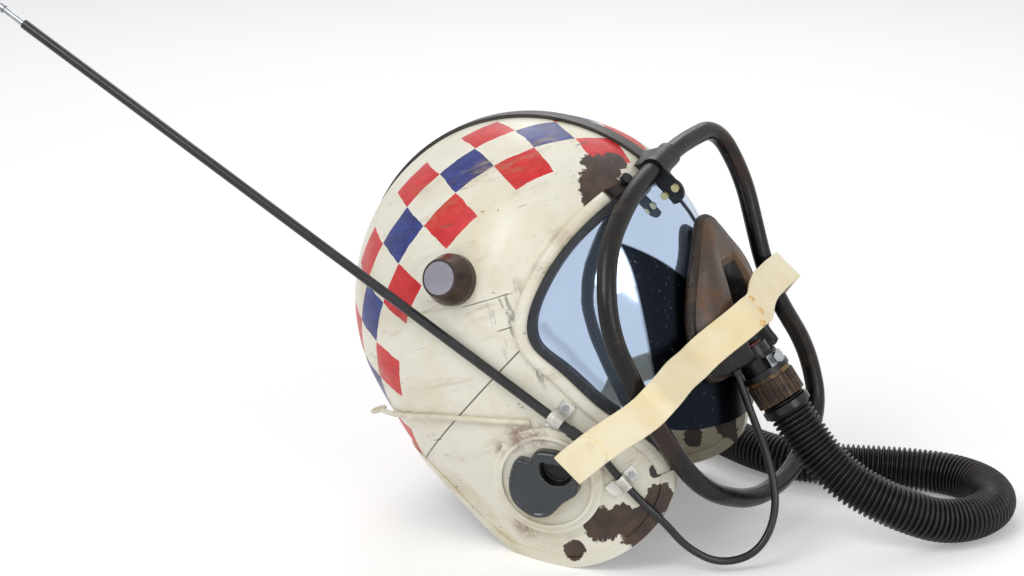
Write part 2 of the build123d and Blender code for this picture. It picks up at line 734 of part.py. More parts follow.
def saddle(at, along, held_d):
    """Saddle strip over a rod of held_d whose middle passes at, its feet on the shell."""
    out = skin_plane(at.X, at.Z, -1, (1, 0, 0)).z_dir
    frame = Plane(origin=at - along * (clip_w / 2), x_dir=out.cross(along), z_dir=along)
    inner = held_d / 2 + fit / 2
    outer, low = inner + clip_t, -(at - skin(at.X, at.Z, -1)).length - boss_h
    foot = outer + clip_foot
    with BuildPart() as strip:
        with BuildSketch(frame):
            Circle(outer)
            with Locations((0, low / 2)):
                Rectangle(2 * outer, -low)
                Rectangle(2 * inner, -low, mode=Mode.SUBTRACT)
            Circle(inner, mode=Mode.SUBTRACT)
            with Locations((-(outer + foot) / 2, low + (boss_h + clip_t) / 2),
                           ((outer + foot) / 2, low + (boss_h + clip_t) / 2)):
                Rectangle(clip_foot + clip_t, boss_h + clip_t)
        extrude(amount=clip_w)
    return strip.part, frame, foot - clip_foot / 2, low


up_strip, up_frame, up_foot, up_low = saddle(antenna_low, antenna_dir * -1, antenna_d)
low_strip, low_frame, low_foot, low_low = saddle(low_clip_at, low_dir, cable_d)
boss_room = Solid.make_cylinder(boss_r + fit, 2 * over, ear_plane.offset(-over))
with BuildPart() as antenna_clip_upper:
    add(up_strip)
    add(outside, mode=Mode.SUBTRACT)
    add(boss_room, mode=Mode.SUBTRACT)
    add(face_rim_right.part, mode=Mode.SUBTRACT)
with BuildPart() as antenna_clip_lower:
    add(low_strip)
    add(outside, mode=Mode.SUBTRACT)
    add(boss_room, mode=Mode.SUBTRACT)
with BuildPart() as clip_screws:
    for frame, foot, low in ((up_frame, up_foot, up_low), (low_frame, low_foot, low_low)):
        seat = frame.from_local_coords(Vector(foot, low + boss_h + clip_t, clip_w / 2))
        with BuildSketch(Plane(origin=seat, x_dir=frame.z_dir, z_dir=frame.y_dir)):
            Circle(screw_d / 2)
        extrude(amount=screw_h)

# Rigid tie wire along the shell with an eye at its end
wire_points = [skin(*side_point(shares), -1, wire_d / 2 + wire_lift) for shares in wire_shares]
wire_end = Vector(wire_end_shares[0] * dome_half_l, wire_end_shares[1] * dome_half_w,
                  wire_end_shares[2] * dome_half_h)
wire_points.append(wire_end)
with BuildPart() as wire_run:
    with BuildLine():
        wire_line = FilletPolyline(*wire_points, radius=bend_radii(wire_points, False, 0.3))
    with BuildSketch(Plane(origin=wire_line @ 0, z_dir=wire_line % 0)):
        Circle(wire_d / 2)
    sweep()
eye_at = (wire_line @ 1) + (wire_line % 1) * eye_r
with BuildPart() as wire_eye:
    with BuildSketch(Plane(origin=eye_at, x_dir=wire_line % 1, z_dir=Vector(0, 0, 1).cross(wire_line % 1))):
        with Locations((eye_r, 0)):
            Circle(eye_wire_d / 2)
    revolve(axis=Axis(eye_at, Vector(wire_line % 1).cross(Vector(0, 0, 1).cross(wire_line % 1))))
with BuildPart() as tie_wire:
    add(wire_run.part)
    add(wire_eye.part)

# Head liner, pads and ear cups inside the shell
liner_skin = layer(shell_t + fit, shell_t + fit + liner_t)
liner_band = across(side_outline(liner_edge))
pad_skin = layer(shell_t + liner_t + 2 * fit, shell_t + liner_t + 2 * fit + pad_t)
with BuildPart() as foam_liner:
    add(liner_skin)
    add(liner_band, mode=Mode.INTERSECT)
    split(bisect_by=Plane.XY.offset(-liner_drop), keep=Keep.TOP)
    with BuildSketch(knob_plane):
        Circle(knob_base_r)
    extrude(amount=-dome_half_w / 2, mode=Mode.SUBTRACT)
with BuildPart() as crown_pad:
    add(pad_skin)
    with BuildSketch(Plane.XY):
        Circle(pad_half_w)
    extrude(amount=dome_half_h, mode=Mode.INTERSECT)
with BuildPart() as brow_pad:
    add(pad_skin)
    with Locations((dome_half_l / 2, 0, brow_pad_z)):
        Box(dome_half_l, 2 * pad_half_w, pad_band_h, mode=Mode.INTERSECT)
with BuildPart() as nape_pad:
    add(pad_skin)
    with Locations((-dome_half_l / 2, 0, -nape_pad_drop)):
        Box(dome_half_l, 2 * pad_half_w, pad_band_h, mode=Mode.INTERSECT)
inner_body = body(shell_t + fit)
with BuildPart() as ear_cup_right:
    with BuildSketch(ear_plane.offset(-shell_t - ear_cup_t)):
        Circle(ear_cup_r)
    extrude(amount=ear_cup_t)
    with BuildSketch(ear_plane.offset(-shell_t - ear_cup_t)):
        Circle(ear_cup_hole_r)
    extrude(amount=earphone_t + fit, mode=Mode.SUBTRACT)
    add(inner_body, mode=Mode.INTERSECT)
with BuildPart() as earphone_right:
    with BuildSketch(ear_plane.offset(-shell_t - ear_cup_t + fit)):
        Circle(ear_cup_hole_r - fit)
    extrude(amount=earphone_t - fit)

# Oxygen mask: moulded shell on a rubber facepiece that reaches in through the visor
face_at = visor_gap - fit
seat_at = face_at - facepiece_t


def mask_body(inset):
    """The mask as a closed solid, lofted through its level sections and drawn in by inset."""
    with BuildPart() as solid:
        for up, deep, wide, narrow in mask_shares:
            level = up * (mask_top - inset) if up > 0 else up * (mask_bottom - inset)
            front, back = mask_back + deep * mask_depth - inset, mask_back - mask_tail
            near, far = narrow * mask_half_w - inset * mask_inset_share, wide * mask_half_w - inset
            near = max(near, mask_edge_r)
            with BuildSketch(Plane.XY.offset(level)):
                with BuildLine():
                    Polyline((back, -far), (mask_back - inset, -far), (front, -near), (front, near),
                             (mask_back - inset, far), (back, far), close=True)
                make_face()
        loft()
    return solid.part


mask_out, mask_in, mask_lip = mask_body(0), mask_body(mask_wall), mask_body(-facepiece_out)
seat_body, face_body = body(seat_at), body(face_at)
rubber_skin = layer(seat_at, face_at)
duct_in = port(fit + facepiece_wall, over + mask_tail)
outlet_dir = Vector(sin(radians(outlet_angle)), 0, -cos(radians(outlet_angle)))
outlet_plane = Plane(origin=(outlet_x, 0, outlet_z), x_dir=(cos(radians(outlet_angle)), 0, sin(radians(outlet_angle))),
                     z_dir=outlet_dir)
exhale_row = [(above + below) / 2 for above, below in zip(mask_shares[-2], mask_shares[-1])]
exhale_back = Vector(mask_back, exhale_row[2] * mask_half_w)
exhale_front = Vector(mask_back + exhale_row[1] * mask_depth, exhale_row[3] * mask_half_w)
exhale_run = exhale_front - exhale_back
exhale_at = exhale_back + exhale_run * exhale_share
exhale_plane = Plane(origin=(exhale_at.X, exhale_at.Y, exhale_row[0] * mask_bottom), x_dir=exhale_run,
                     z_dir=(-exhale_run.Y, exhale_run.X, 0))
with BuildPart() as mask_shell:
    add(mask_out)
    add(mask_in, mode=Mode.SUBTRACT)
    add(seat_body, mode=Mode.SUBTRACT)
    with BuildSketch(outlet_plane.offset(-housing_len - seat_t)):
        Circle(spigot_r + fit / 3)
    extrude(amount=housing_len + over, mode=Mode.SUBTRACT)
    with BuildSketch(Plane.XY.offset(-mask_bottom - mask_wall)):
        with Locations((mic_x, mic_y)):
            Circle(mic_r + fit)
    extrude(amount=3 * mask_wall, mode=Mode.SUBTRACT)
    with BuildSketch(exhale_plane.offset(-2 * mask_wall)):
        Circle(exhale_r + seat_t)
    extrude(amount=4 * mask_wall, mode=Mode.SUBTRACT)
with BuildPart() as mask_facepiece:
    add(rubber_skin)
    add(mask_lip, mode=Mode.INTERSECT)
    add(duct_in, mode=Mode.SUBTRACT)
    with BuildSketch(outlet_plane.offset(-housing_len + spigot_len - fit)):
        Circle(housing_r + fit)
    extrude(amount=housing_len, mode=Mode.SUBTRACT)
    with BuildSketch(outlet_plane.offset(-housing_flange_t - band_t - 2 * fit)):
        Circle(housing_flange_r + fit)
    extrude(amount=housing_len, mode=Mode.SUBTRACT)

with BuildPart() as ear_cup_left:
    add(both(ear_cup_right.part))
with BuildPart() as earphone_left:
    add(both(earphone_right.part))

# Valve housing: flanged tube under the mask with a valve seat at its head and a neck for the union
with BuildPart() as valve_housing:
    with BuildSketch(outlet_plane.offset(-housing_len)):
        Circle(spigot_r)
    extrude(amount=housing_len)
    with BuildSketch(outlet_plane.offset(-housing_len + spigot_len)):
        Circle(housing_r)
    extrude(amount=housing_len - spigot_len)
    with BuildSketch(outlet_plane.offset(-housing_flange_t - band_t - fit)):
        Circle(housing_flange_r)
    extrude(amount=housing_flange_t)
    with BuildSketch(outlet_plane):
        Circle(neck_r)
    extrude(amount=neck_len)
    with BuildSketch(outlet_plane.offset(-housing_len + seat_t)):
        Circle(spigot_r - seat_t)
    extrude(amount=spigot_len, mode=Mode.SUBTRACT)
    with BuildSketch(outlet_plane.offset(-housing_len + spigot_len + seat_t)):
        Circle(housing_bore_r)
    extrude(amount=housing_len + neck_len, mode=Mode.SUBTRACT)
    with BuildSketch(outlet_plane.offset(-housing_len)):
        with PolarLocations(seat_port_at, seat_port_count):
            Circle(seat_port_r)
        Circle(valve_stem_r + fit)
    extrude(amount=seat_t, mode=Mode.SUBTRACT)
with BuildPart() as outlet_band:
    with BuildSketch(outlet_plane.offset(-band_t)):
        Circle(band_r)
        Circle(housing_r + fit / 3, mode=Mode.SUBTRACT)
    extrude(amount=band_t)
valve_stem_len = seat_t + fit + valve_lift
with BuildPart() as inhale_valve:
    with BuildSketch(outlet_plane.offset(-housing_len - fit / 2 - valve_t)):
        Circle(valve_r)
    extrude(amount=valve_t)
    with BuildSketch(outlet_plane.offset(-housing_len - fit / 2)):
        Circle(valve_stem_r)
    extrude(amount=valve_stem_len)
    with BuildSketch(outlet_plane.offset(-housing_len - fit / 2 + valve_stem_len)):
        Circle(seat_hub_r)
    extrude(amount=valve_t)

# Union nut, fluted, holding the hose's tail against the neck
with BuildPart() as union_nut:
    with BuildSketch(outlet_plane.offset(fit)):
        Circle(union_r)
        with PolarLocations(union_r, union_flute_count):
            Circle(union_flute_r, mode=Mode.SUBTRACT)
    extrude(amount=union_len)
    with BuildSketch(outlet_plane.offset(fit)):
        Circle(neck_r + fit)
    extrude(amount=union_len - union_lip, mode=Mode.SUBTRACT)
    with BuildSketch(outlet_plane.offset(fit)):
        Circle(tail_r + fit)
    extrude(amount=union_len, mode=Mode.SUBTRACT)
with BuildPart() as hose_tail:
    with BuildSketch(outlet_plane.offset(neck_len + fit)):
        Circle(neck_r)
    extrude(amount=tail_flange_t)
    with BuildSketch(outlet_plane.offset(neck_len + fit)):
        Circle(tail_r)
    extrude(amount=tail_len)
    with BuildSketch(outlet_plane.offset(neck_len)):
        Circle(tail_bore_r)
    extrude(amount=tail_len + over, mode=Mode.SUBTRACT)

# Steel block with its bolt on the near front of the housing
block_dir = Vector(cos(radians(block_turn)), sin(radians(block_turn)), 0)
block_drop = housing_flange_t + band_t + fit + bracket_h / 2
block_middle = outlet_plane.from_local_coords(block_dir * (housing_r - bracket_t / 4) - Vector(0, 0, block_drop))
block_plane = Plane(origin=block_middle, x_dir=outlet_plane.z_dir,
                    z_dir=outlet_plane.from_local_coords(block_dir) - outlet_plane.origin)
with BuildPart() as outlet_block:
    with BuildSketch(block_plane):
        Rectangle(bracket_h, bracket_w)
    extrude(amount=bracket_t)
    add(valve_housing.part, mode=Mode.SUBTRACT)
with BuildPart() as block_bolt:
    with BuildSketch(block_plane.offset(bracket_t)):
        RegularPolygon(bolt_af / 2, 6, major_radius=False)
    extrude(amount=bolt_h)

# Exhale valve under the far side of the mask and the microphone on the near side
with BuildPart() as exhale_seat:
    with BuildSketch(exhale_plane.offset(-seat_t / 2)):
        Circle(exhale_cap_r)
    extrude(amount=exhale_cap_t + seat_t / 2)
    add(mask_out, mode=Mode.SUBTRACT)
    with BuildSketch(exhale_plane.offset(-mask_wall)):
        Circle(exhale_r + seat_t - fit / 3)
    extrude(amount=mask_wall + seat_t)
    with BuildSketch(exhale_plane.offset(seat_t)):
        Circle(exhale_cap_r - seat_t)
    extrude(amount=exhale_cap_t, mode=Mode.SUBTRACT)
    with BuildSketch(exhale_plane.offset(-mask_wall)):
        with PolarLocations(exhale_r * 0.58, seat_port_count):
            Circle(exhale_r * 0.27)
        Circle(valve_stem_r + fit)
    extrude(amount=mask_wall + seat_t, mode=Mode.SUBTRACT)
with BuildPart() as exhale_valve:
    with BuildSketch(exhale_plane.offset(seat_t + fit / 2)):
        Circle(exhale_r)
    extrude(amount=valve_t)
    with BuildSketch(exhale_plane.offset(seat_t + fit / 2)):
        Circle(valve_stem_r)
    extrude(amount=-mask_wall - seat_t)
mic_plane = Plane(origin=(mic_x, mic_y, -mask_bottom), x_dir=(1, 0, 0), z_dir=(0, 0, -1))
with BuildPart() as microphone:
    with BuildSketch(mic_plane.offset(-mask_wall - mic_capsule_t)):
        Circle(mic_r + fit)
    extrude(amount=mic_capsule_t)
    with BuildSketch(mic_plane.offset(-mask_wall)):
        Circle(mic_r)
    extrude(amount=mask_wall + gland_len / 3)
with BuildPart() as mic_gland:
    with BuildSketch(mic_plane.offset(gland_len / 3)):
        Circle(gland_d / 2)
    extrude(amount=gland_len * 2 / 3, taper=gland_taper)

# Hose: ribs as one ruled loft along its route, with its bore; tail, clamp band and plug at its ends
hose_start = leaned(outlet_plane.origin + outlet_plane.z_dir * (union_len + 2 * fit))
hose_dir = leaned(outlet_plane.origin + outlet_plane.z_dir) - leaned(outlet_plane.origin)
hose_points = [hose_start, hose_start + hose_dir * hose_d, *[Vector(*point) for point in hose_route]]
hose_radii = bend_radii(hose_points, False)
with BuildLine() as hose_path:
    FilletPolyline(*hose_points, radius=hose_radii)
hose_line = hose_path.wires()[0]
rib_count = round(hose_line.length / hose_rib_pitch)
rib_shares = ((0.08, 0), (0.30, 1), (0.70, 1), (0.92, 0))
rings = []
for rib in range(rib_count):
    for share, high in rib_shares:
        spot = (rib + share) / rib_count
        middle, along = hose_line.position_at(spot), hose_line.tangent_at(spot)
        side = Vector(0, 0, 1).cross(along).cross(along)
        rings.append(Wire.make_circle((hose_d if high else hose_root_d) / 2,
                                      Plane(origin=middle, x_dir=side, z_dir=along)))
hose_ends = [Plane(origin=hose_line @ spot, x_dir=Vector(0, 0, 1).cross(hose_line % spot).cross(hose_line % spot),
                   z_dir=hose_line % spot) for spot in (0, 1)]
start_ring, end_ring = [Wire.make_circle(hose_root_d / 2, plane) for plane in hose_ends]
hose_skin = Solid.make_loft([start_ring, *rings, end_ring], True)
with BuildPart() as hose_bore:
    with BuildLine():
        add(hose_line)
    with BuildSketch(hose_ends[0]):
        Circle(hose_bore_d / 2)
    sweep()
with BuildPart() as hose:
    add(hose_skin)
    add(hose_bore.part, mode=Mode.SUBTRACT)
plug_plane = Plane(origin=hose_line @ 1, x_dir=(0, 0, 1), z_dir=hose_line % 1)
with BuildPart() as hose_plug:
    with BuildSketch(plug_plane.offset(-tail_len + tail_flange_t)):
        Circle(tail_r)
    extrude(amount=tail_len)
    with BuildSketch(plug_plane.offset(fit)):
        Circle(plug_collar_r)
        with PolarLocations(plug_collar_r, union_flute_count):
            Circle(union_flute_r, mode=Mode.SUBTRACT)
    extrude(amount=plug_collar_len)
    with BuildSketch(plug_plane.offset(plug_collar_len)):
        Circle(plug_r)
    extrude(amount=plug_len)
    with BuildSketch(plug_plane.offset(plug_collar_len + plug_len * 0.6)):
        Circle(plug_r)
        Circle(plug_r - plug_groove_w * 0.7, mode=Mode.SUBTRACT)
    extrude(amount=plug_groove_w, mode=Mode.SUBTRACT)
    with BuildSketch(plug_plane.offset(-tail_len)):
        Circle(plug_bore_r)
    extrude(amount=2 * tail_len + plug_collar_len + plug_len, mode=Mode.SUBTRACT)
with BuildPart() as plug_seal:
    with BuildSketch(plug_plane.offset(plug_collar_len + plug_len * 0.6 + fit / 2)):
        Circle(plug_r - plug_seal_sunk)
        Circle(plug_r - plug_groove_w * 0.7, mode=Mode.SUBTRACT)
    extrude(amount=plug_groove_w - fit)
with BuildPart() as hose_clamp:
    with BuildSketch(Plane(origin=hose_line @ 0, x_dir=(0, 1, 0), z_dir=hose_line % 0).offset(hose_band_w * 0.6)):
        Circle(hose_d / 2 + fit + hose_band_t)
        Circle(hose_d / 2 + fit, mode=Mode.SUBTRACT)
    extrude(amount=hose_band_w)


# Lean every piece back to the table and write it; the hose and the cable already rest there
leaned_pieces = {
    "crown_shell": crown_shell, "cheek_shell_right": cheek_shell_right,
    "cheek_shell_left": cheek_shell_left, "face_rim_right": face_rim_right, "face_rim_left": face_rim_left,
    "brow_bar": brow_bar, "brow_bolts": brow_bolts, "edge_seal": edge_seal, "lower_edging": lower_edging,
    "visor": visor, "crown_strip": crown_strip, "guard_ring": guard_ring, "ring_clamp": ring_clamp,
    "clamp_rivets": clamp_rivets, "ear_boss_right": ear_boss_right, "ear_boss_left": ear_boss_left,
    "receiver_right": receiver_right, "receiver_left": receiver_left, "mask_strap": mask_strap,
    "strap_end_tab": strap_end_tab, "strap_studs": strap_studs, "knob_base": knob_base, "knob": knob,
    "knob_cap": knob_cap, "knob_shaft": knob_shaft, "knob_nut": knob_nut, "antenna_tube": antenna_tube,
    "antenna_rod": antenna_rod, "antenna_ferrule": antenna_ferrule,
    "antenna_clip_upper": antenna_clip_upper, "antenna_clip_lower": antenna_clip_lower,
    "clip_screws": clip_screws, "tie_wire": tie_wire, "foam_liner": foam_liner, "crown_pad": crown_pad,
    "brow_pad": brow_pad, "nape_pad": nape_pad, "ear_cup_right": ear_cup_right,
    "ear_cup_left": ear_cup_left, "earphone_right": earphone_right, "earphone_left": earphone_left,
    "mask_shell": mask_shell, "mask_facepiece": mask_facepiece, "valve_housing": valve_housing,
    "outlet_band": outlet_band, "inhale_valve": inhale_valve, "union_nut": union_nut,
    "hose_tail": hose_tail, "outlet_block": outlet_block, "block_bolt": block_bolt,
    "exhale_seat": exhale_seat, "exhale_valve": exhale_valve, "microphone": microphone,
    "mic_gland": mic_gland}
for label, piece in leaned_pieces.items():
    save(piece, label)
for label, piece in {"mic_cable": mic_cable, "hose": hose, "hose_clamp": hose_clamp,
                     "hose_plug": hose_plug, "plug_seal": plug_seal}.items():
    save(piece, label, leaned=False)
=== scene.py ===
"""Looks of a pilot flight helmet with guard ring, mirror visor, oxygen mask, hose and antenna.

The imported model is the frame: its nodes keep their shape and get materials here, and the pieces
made below stand for the nodes whose surface needs more form. Lengths are metres in the resting
frame. The helmet's own head frame is leaned back by LEAN about Y from it, and the functions that
work in the head frame say so and use millimetres.
"""
import math

import bmesh
import bpy
import numpy as np
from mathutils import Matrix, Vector


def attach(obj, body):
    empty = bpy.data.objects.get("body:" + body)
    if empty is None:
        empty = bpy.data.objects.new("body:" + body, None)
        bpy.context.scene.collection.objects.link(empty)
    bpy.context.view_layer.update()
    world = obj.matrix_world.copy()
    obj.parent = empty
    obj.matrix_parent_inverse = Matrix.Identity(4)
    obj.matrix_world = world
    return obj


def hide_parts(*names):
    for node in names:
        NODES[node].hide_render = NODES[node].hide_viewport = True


bl_info = {
    "name": "Pilot flight helmet",
    "version": (1, 0, 0),
    "blender": (4, 5, 0),
    "location": "View3D > Sidebar > Helmet",
    "description": "Dresses the packed flight helmet: paint, visor, mask, strap, hose and soft pieces",
    "category": "Object",
}

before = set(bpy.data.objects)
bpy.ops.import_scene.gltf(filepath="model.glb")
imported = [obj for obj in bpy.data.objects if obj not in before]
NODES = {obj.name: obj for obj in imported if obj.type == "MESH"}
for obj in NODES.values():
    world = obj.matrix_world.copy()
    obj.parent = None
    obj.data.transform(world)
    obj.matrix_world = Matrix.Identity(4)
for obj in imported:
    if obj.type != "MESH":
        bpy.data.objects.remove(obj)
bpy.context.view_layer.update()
LEAN = math.radians(22.0)
MM = 0.001

# Sizes of the shell in the head frame, millimetres, as in the part's source
HALF_L, HALF_W, HALF_H = 130.0, 116.0, 128.0
TAPER_POWER, TAPER_LEN, TAPER_SHIFT, TAPER_WIDTH = 1.4, 0.162, 0.086, 0.073
FACE = [(0.94, 0.5), (0.708, 0.406), (0.408, 0.172), (0.292, -0.078), (0.362, -0.234), (0.485, -0.508),
        (0.608, -0.727), (0.654, -0.977), (0.577, -1.117), (0.40, -1.234)]


# ---- places on the helmet
def to_row(points):
    """Head-frame millimetres to resting-frame metres: a turn by LEAN about Y, then a scale."""
    p = np.asarray(points, float)
    c, s = math.cos(LEAN), math.sin(LEAN)
    return np.stack([p[..., 0] * c - p[..., 2] * s, p[..., 1], p[..., 0] * s + p[..., 2] * c], -1) * MM


def section(drop):
    """Half length, half width and shift of the shell's level section, drop below the dome's middle."""
    share = drop / HALF_H
    return (HALF_L * (1 - TAPER_LEN * share ** TAPER_POWER), HALF_W * (1 - TAPER_WIDTH * share ** 2),
            HALF_L * TAPER_SHIFT * share ** TAPER_POWER)


def skin_side(x, z):
    """Half width of the shell at x and z: an ellipsoid above the middle, drawn-in ellipses below it."""
    x, z = np.broadcast_arrays(np.asarray(x, float), np.asarray(z, float))
    up = 1 - (z / HALF_H) ** 2 - (x / HALF_L) ** 2
    half_l, half_w, shift = section(np.maximum(-z, 0))
    low = 1 - ((x - shift) / half_l) ** 2
    return np.where(z >= 0, HALF_W * np.sqrt(np.maximum(up, 0)), half_w * np.sqrt(np.maximum(low, 0)))


def on_skin(x, z, side):
    """Points of the outside of the shell's near (-1) or far (1) side at x and z, in the head frame."""
    x, z = np.broadcast_arrays(np.asarray(x, float), np.asarray(z, float))
    return np.stack([x, side * skin_side(x, z), z], -1)


def skin_out(points):
    """Unit normals of the shell at points of its skin, from the slopes of its level sections."""
    x, y, z = points[..., 0], points[..., 1], points[..., 2]
    half_l, half_w, shift = section(np.maximum(-z, 0))
    half_l, half_w = np.where(z >= 0, HALF_L, half_l), np.where(z >= 0, HALF_W, half_w)
    n = np.stack([(x - np.where(z >= 0, 0, shift)) / half_l ** 2, y / half_w ** 2,
                  np.where(z >= 0, z / HALF_H ** 2, -0.00045)], -1)
    return n / np.linalg.norm(n, axis=-1, keepdims=True)


def along(points):
    """Distance along the line to each of its points."""
    return np.concatenate([[0], np.cumsum(np.linalg.norm(np.diff(points, axis=0), axis=1))])


def length_of(points):
    """Whole length of the line."""
    return float(np.linalg.norm(np.diff(points, axis=0), axis=1).sum())


def smooth_line(points, count):
    """Natural cubic spline through points by chord length, sampled at count even steps of length."""
    p = np.asarray(points, float)
    t = along(p)
    h, n = np.diff(t), len(t)
    a, r = np.eye(n), np.zeros_like(p)
    for k in range(1, n - 1):
        a[k, k - 1:k + 2] = h[k - 1], 2 * (h[k - 1] + h[k]), h[k]
        r[k] = 6 * ((p[k + 1] - p[k]) / h[k] - (p[k] - p[k - 1]) / h[k - 1])
    m = np.linalg.solve(a, r)
    fine = np.linspace(0, t[-1], 40 * n)
    k = np.clip(np.searchsorted(t, fine, side="right") - 1, 0, n - 2)
    u, w = (fine - t[k])[:, None], (t[k + 1] - fine)[:, None]
    hk = h[k][:, None]
    q = (m[k] * w ** 3 + m[k + 1] * u ** 3) / (6 * hk) + (p[k] / hk - m[k] * hk / 6) * w \
        + (p[k + 1] / hk - m[k + 1] * hk / 6) * u
    return even_line(q, count)


def even_line(points, count):
    """The same line resampled at count points an even length apart."""
    p = np.asarray(points, float)
    t = along(p)
    s = np.linspace(0, t[-1], count)
    return np.stack([np.interp(s, t, p[:, k]) for k in range(p.shape[1])], -1)


def unit(v):
    """The same vectors at length one."""
    return v / np.maximum(np.linalg.norm(v, axis=-1, keepdims=True), 1e-12)


def beside(flat):
    """Directions of a flat line's points and the unit vectors to its right, a quarter turn away."""
    t = unit(np.gradient(flat, axis=0))
    return t, np.stack([t[:, 1], -t[:, 0]], -1)


# ---- meshes
def grid_piece(name, points, finish, closed_u=False, closed_v=True, caps=True):
    """Mesh of a grid of points (rows u, columns v): one quad per cell, wrapping where closed.

    Caps are one face over the first row and one over the last.
    """
    p = np.asarray(points, float)
    rows, cols = p.shape[:2]
    u, v = np.arange(rows if closed_u else rows - 1), np.arange(cols if closed_v else cols - 1)
    uu, vv = np.meshgrid(u, v, indexing="ij")
    here, ahead, then = uu * cols, ((uu + 1) % rows) * cols, (vv + 1) % cols
    faces = np.stack([here + vv, here + then, ahead + then, ahead + vv], -1).reshape(-1, 4).tolist()
    if caps:
        faces += [list(range(cols))[::-1], [(rows - 1) * cols + k for k in range(cols)]]
    mesh = bpy.data.meshes.new(name)
    mesh.from_pydata(p.reshape(-1, 3).tolist(), [], faces)
    mesh.update()
    return new_piece(name, mesh, finish)


def new_piece(name, mesh, finish):
    """Links a mesh as a smooth piece of that finish that rides on the helmet."""
    piece = bpy.data.objects.new(name, mesh)
    bpy.context.scene.collection.objects.link(piece)
    mesh.materials.append(finish_named(finish))
    mesh.polygons.foreach_set("use_smooth", np.ones(len(mesh.polygons), bool))
    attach(piece, "helmet")
    return piece


def stand_in(piece, node):
    """Hides the node that the piece stands for."""
    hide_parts(node)
    return piece


def face_outward(piece):
    """Merges a closed piece's doubles and turns its faces outwards."""
    work = bmesh.new()
    work.from_mesh(piece.data)
    bmesh.ops.remove_doubles(work, verts=work.verts, dist=1e-6)
    bmesh.ops.recalc_face_normals(work, faces=work.faces)
    work.to_mesh(piece.data)
    work.free()
    return piece


def sweep(line, profile, side=None, closed=False):
    """A profile of (side, out) offsets carried along a line; side gives each point's side vector.

    Without side vectors they are carried along by the least turn, so that nothing twists.
    """
    p = np.asarray(line, float)
    t = unit(np.gradient(p, axis=0))
    if closed:
        t = unit(np.roll(p, -1, 0) - np.roll(p, 1, 0))
    if side is None:
        side = np.zeros_like(p)
        side[0] = unit(np.cross(t[0], [0, 0, 1.0]))
        for k in range(1, len(p)):
            side[k] = unit(side[k - 1] - t[k] * (side[k - 1] @ t[k]))
    side = unit(side - t * np.sum(side * t, -1, keepdims=True))
    out = np.cross(t, side)
    q = np.asarray(profile, float)
    if q.ndim == 2:
        q = np.broadcast_to(q, (len(p), *q.shape))
    return p[:, None, :] + side[:, None, :] * q[..., :1] + out[:, None, :] * q[..., 1:]


def ring_profile(radius_side, radius_out=None, count=16, power=2.0):
    """Closed profile of a super-ellipse: round at power 2 and squarer above it."""
    radius_out = radius_side if radius_out is None else radius_out
    a = np.linspace(0, 2 * np.pi, count, endpoint=False)
    c, s = np.cos(a), np.sin(a)
    return np.stack([radius_side * np.sign(c) * np.abs(c) ** (2 / power),
                     radius_out * np.sign(s) * np.abs(s) ** (2 / power)], -1)


# ---- materials
NOISE, RANGE, MATH, MIX, BUMP, PATH = "TexNoise", "MapRange", "Math", "Mix", "Bump", "LightPath"
MAPPING, VECTOR, SPLIT, JOIN = "Mapping", "VectorMath", "SeparateXYZ", "CombineXYZ"
TINT = {"out": 2, "data_type": "RGBA"}  # a Mix node's colour output


def colour(hex_code):
    """sRGB hex to the linear values that the sockets take."""
    v = [int(hex_code[k:k + 2], 16) / 255 for k in (1, 3, 5)]
    return (*[c / 12.92 if c <= 0.04045 else ((c + 0.055) / 1.055) ** 2.4 for c in v], 1.0)


# What every colour property says
COLOUR = {"subtype": "COLOR", "size": 4, "min": 0.0, "max": 1.0}


class HelmetPaints(bpy.types.PropertyGroup):
    shell: bpy.props.FloatVectorProperty(name="Shell", description="Shell's lacquer where it lies thick",
                                         default=colour("#ECE8D9"), **COLOUR)
    shell_thin: bpy.props.FloatVectorProperty(name="Shell, thin", description="Shell's lacquer where it lies thin",
                                              default=colour("#DCD2B6"), **COLOUR)
    outer: bpy.props.FloatVectorProperty(name="Outer checks", description="Checks of the two outer rows",
                                         default=colour("#C5151B"), **COLOUR)
    outer_thin: bpy.props.FloatVectorProperty(name="Outer, thin", description="Outer checks where the paint is thin",
                                              default=colour("#D92B2E"), **COLOUR)
    middle: bpy.props.FloatVectorProperty(name="Middle checks", description="Checks of the middle row",
                                          default=colour("#141F66"), **COLOUR)
    middle_thin: bpy.props.FloatVectorProperty(name="Middle, thin", description="Middle checks where the paint is thin",
                                               default=colour("#22398C"), **COLOUR)
    visor: bpy.props.FloatVectorProperty(name="Visor", description="Visor's mirror coat",
                                         default=colour("#B9CBE4"), **COLOUR)


def add(tree, kind, inputs=None, out=0, **settings):
    """Adds a node with its settings and links, and gives the output asked for.

    inputs maps socket names or numbers to values, hex colours, or output sockets to link.
    """
    node = tree.nodes.new("ShaderNode" + kind)
    for name, value in settings.items():
        setattr(node, name, value)
    for key, value in (inputs or {}).items():
        if isinstance(value, bpy.types.NodeSocket):
            tree.links.new(value, node.inputs[key])
        else:
            node.inputs[key].default_value = colour(value) if isinstance(value, str) else value
    return node.outputs[out] if node.outputs else node


def start(name, lean=0.0):
    """A material with its shader, and the object coordinates that its patterns read, leaned by lean."""
    material = bpy.data.materials.new(name)
    material.use_nodes = True
    tree = material.node_tree
    coords = add(tree, "TexCoord", out="Object")
    if lean:
        coords = add(tree, MAPPING, {0: coords, 2: (0.0, lean, 0.0)}, vector_type="POINT")
    return material, tree, tree.nodes["Principled BSDF"], coords


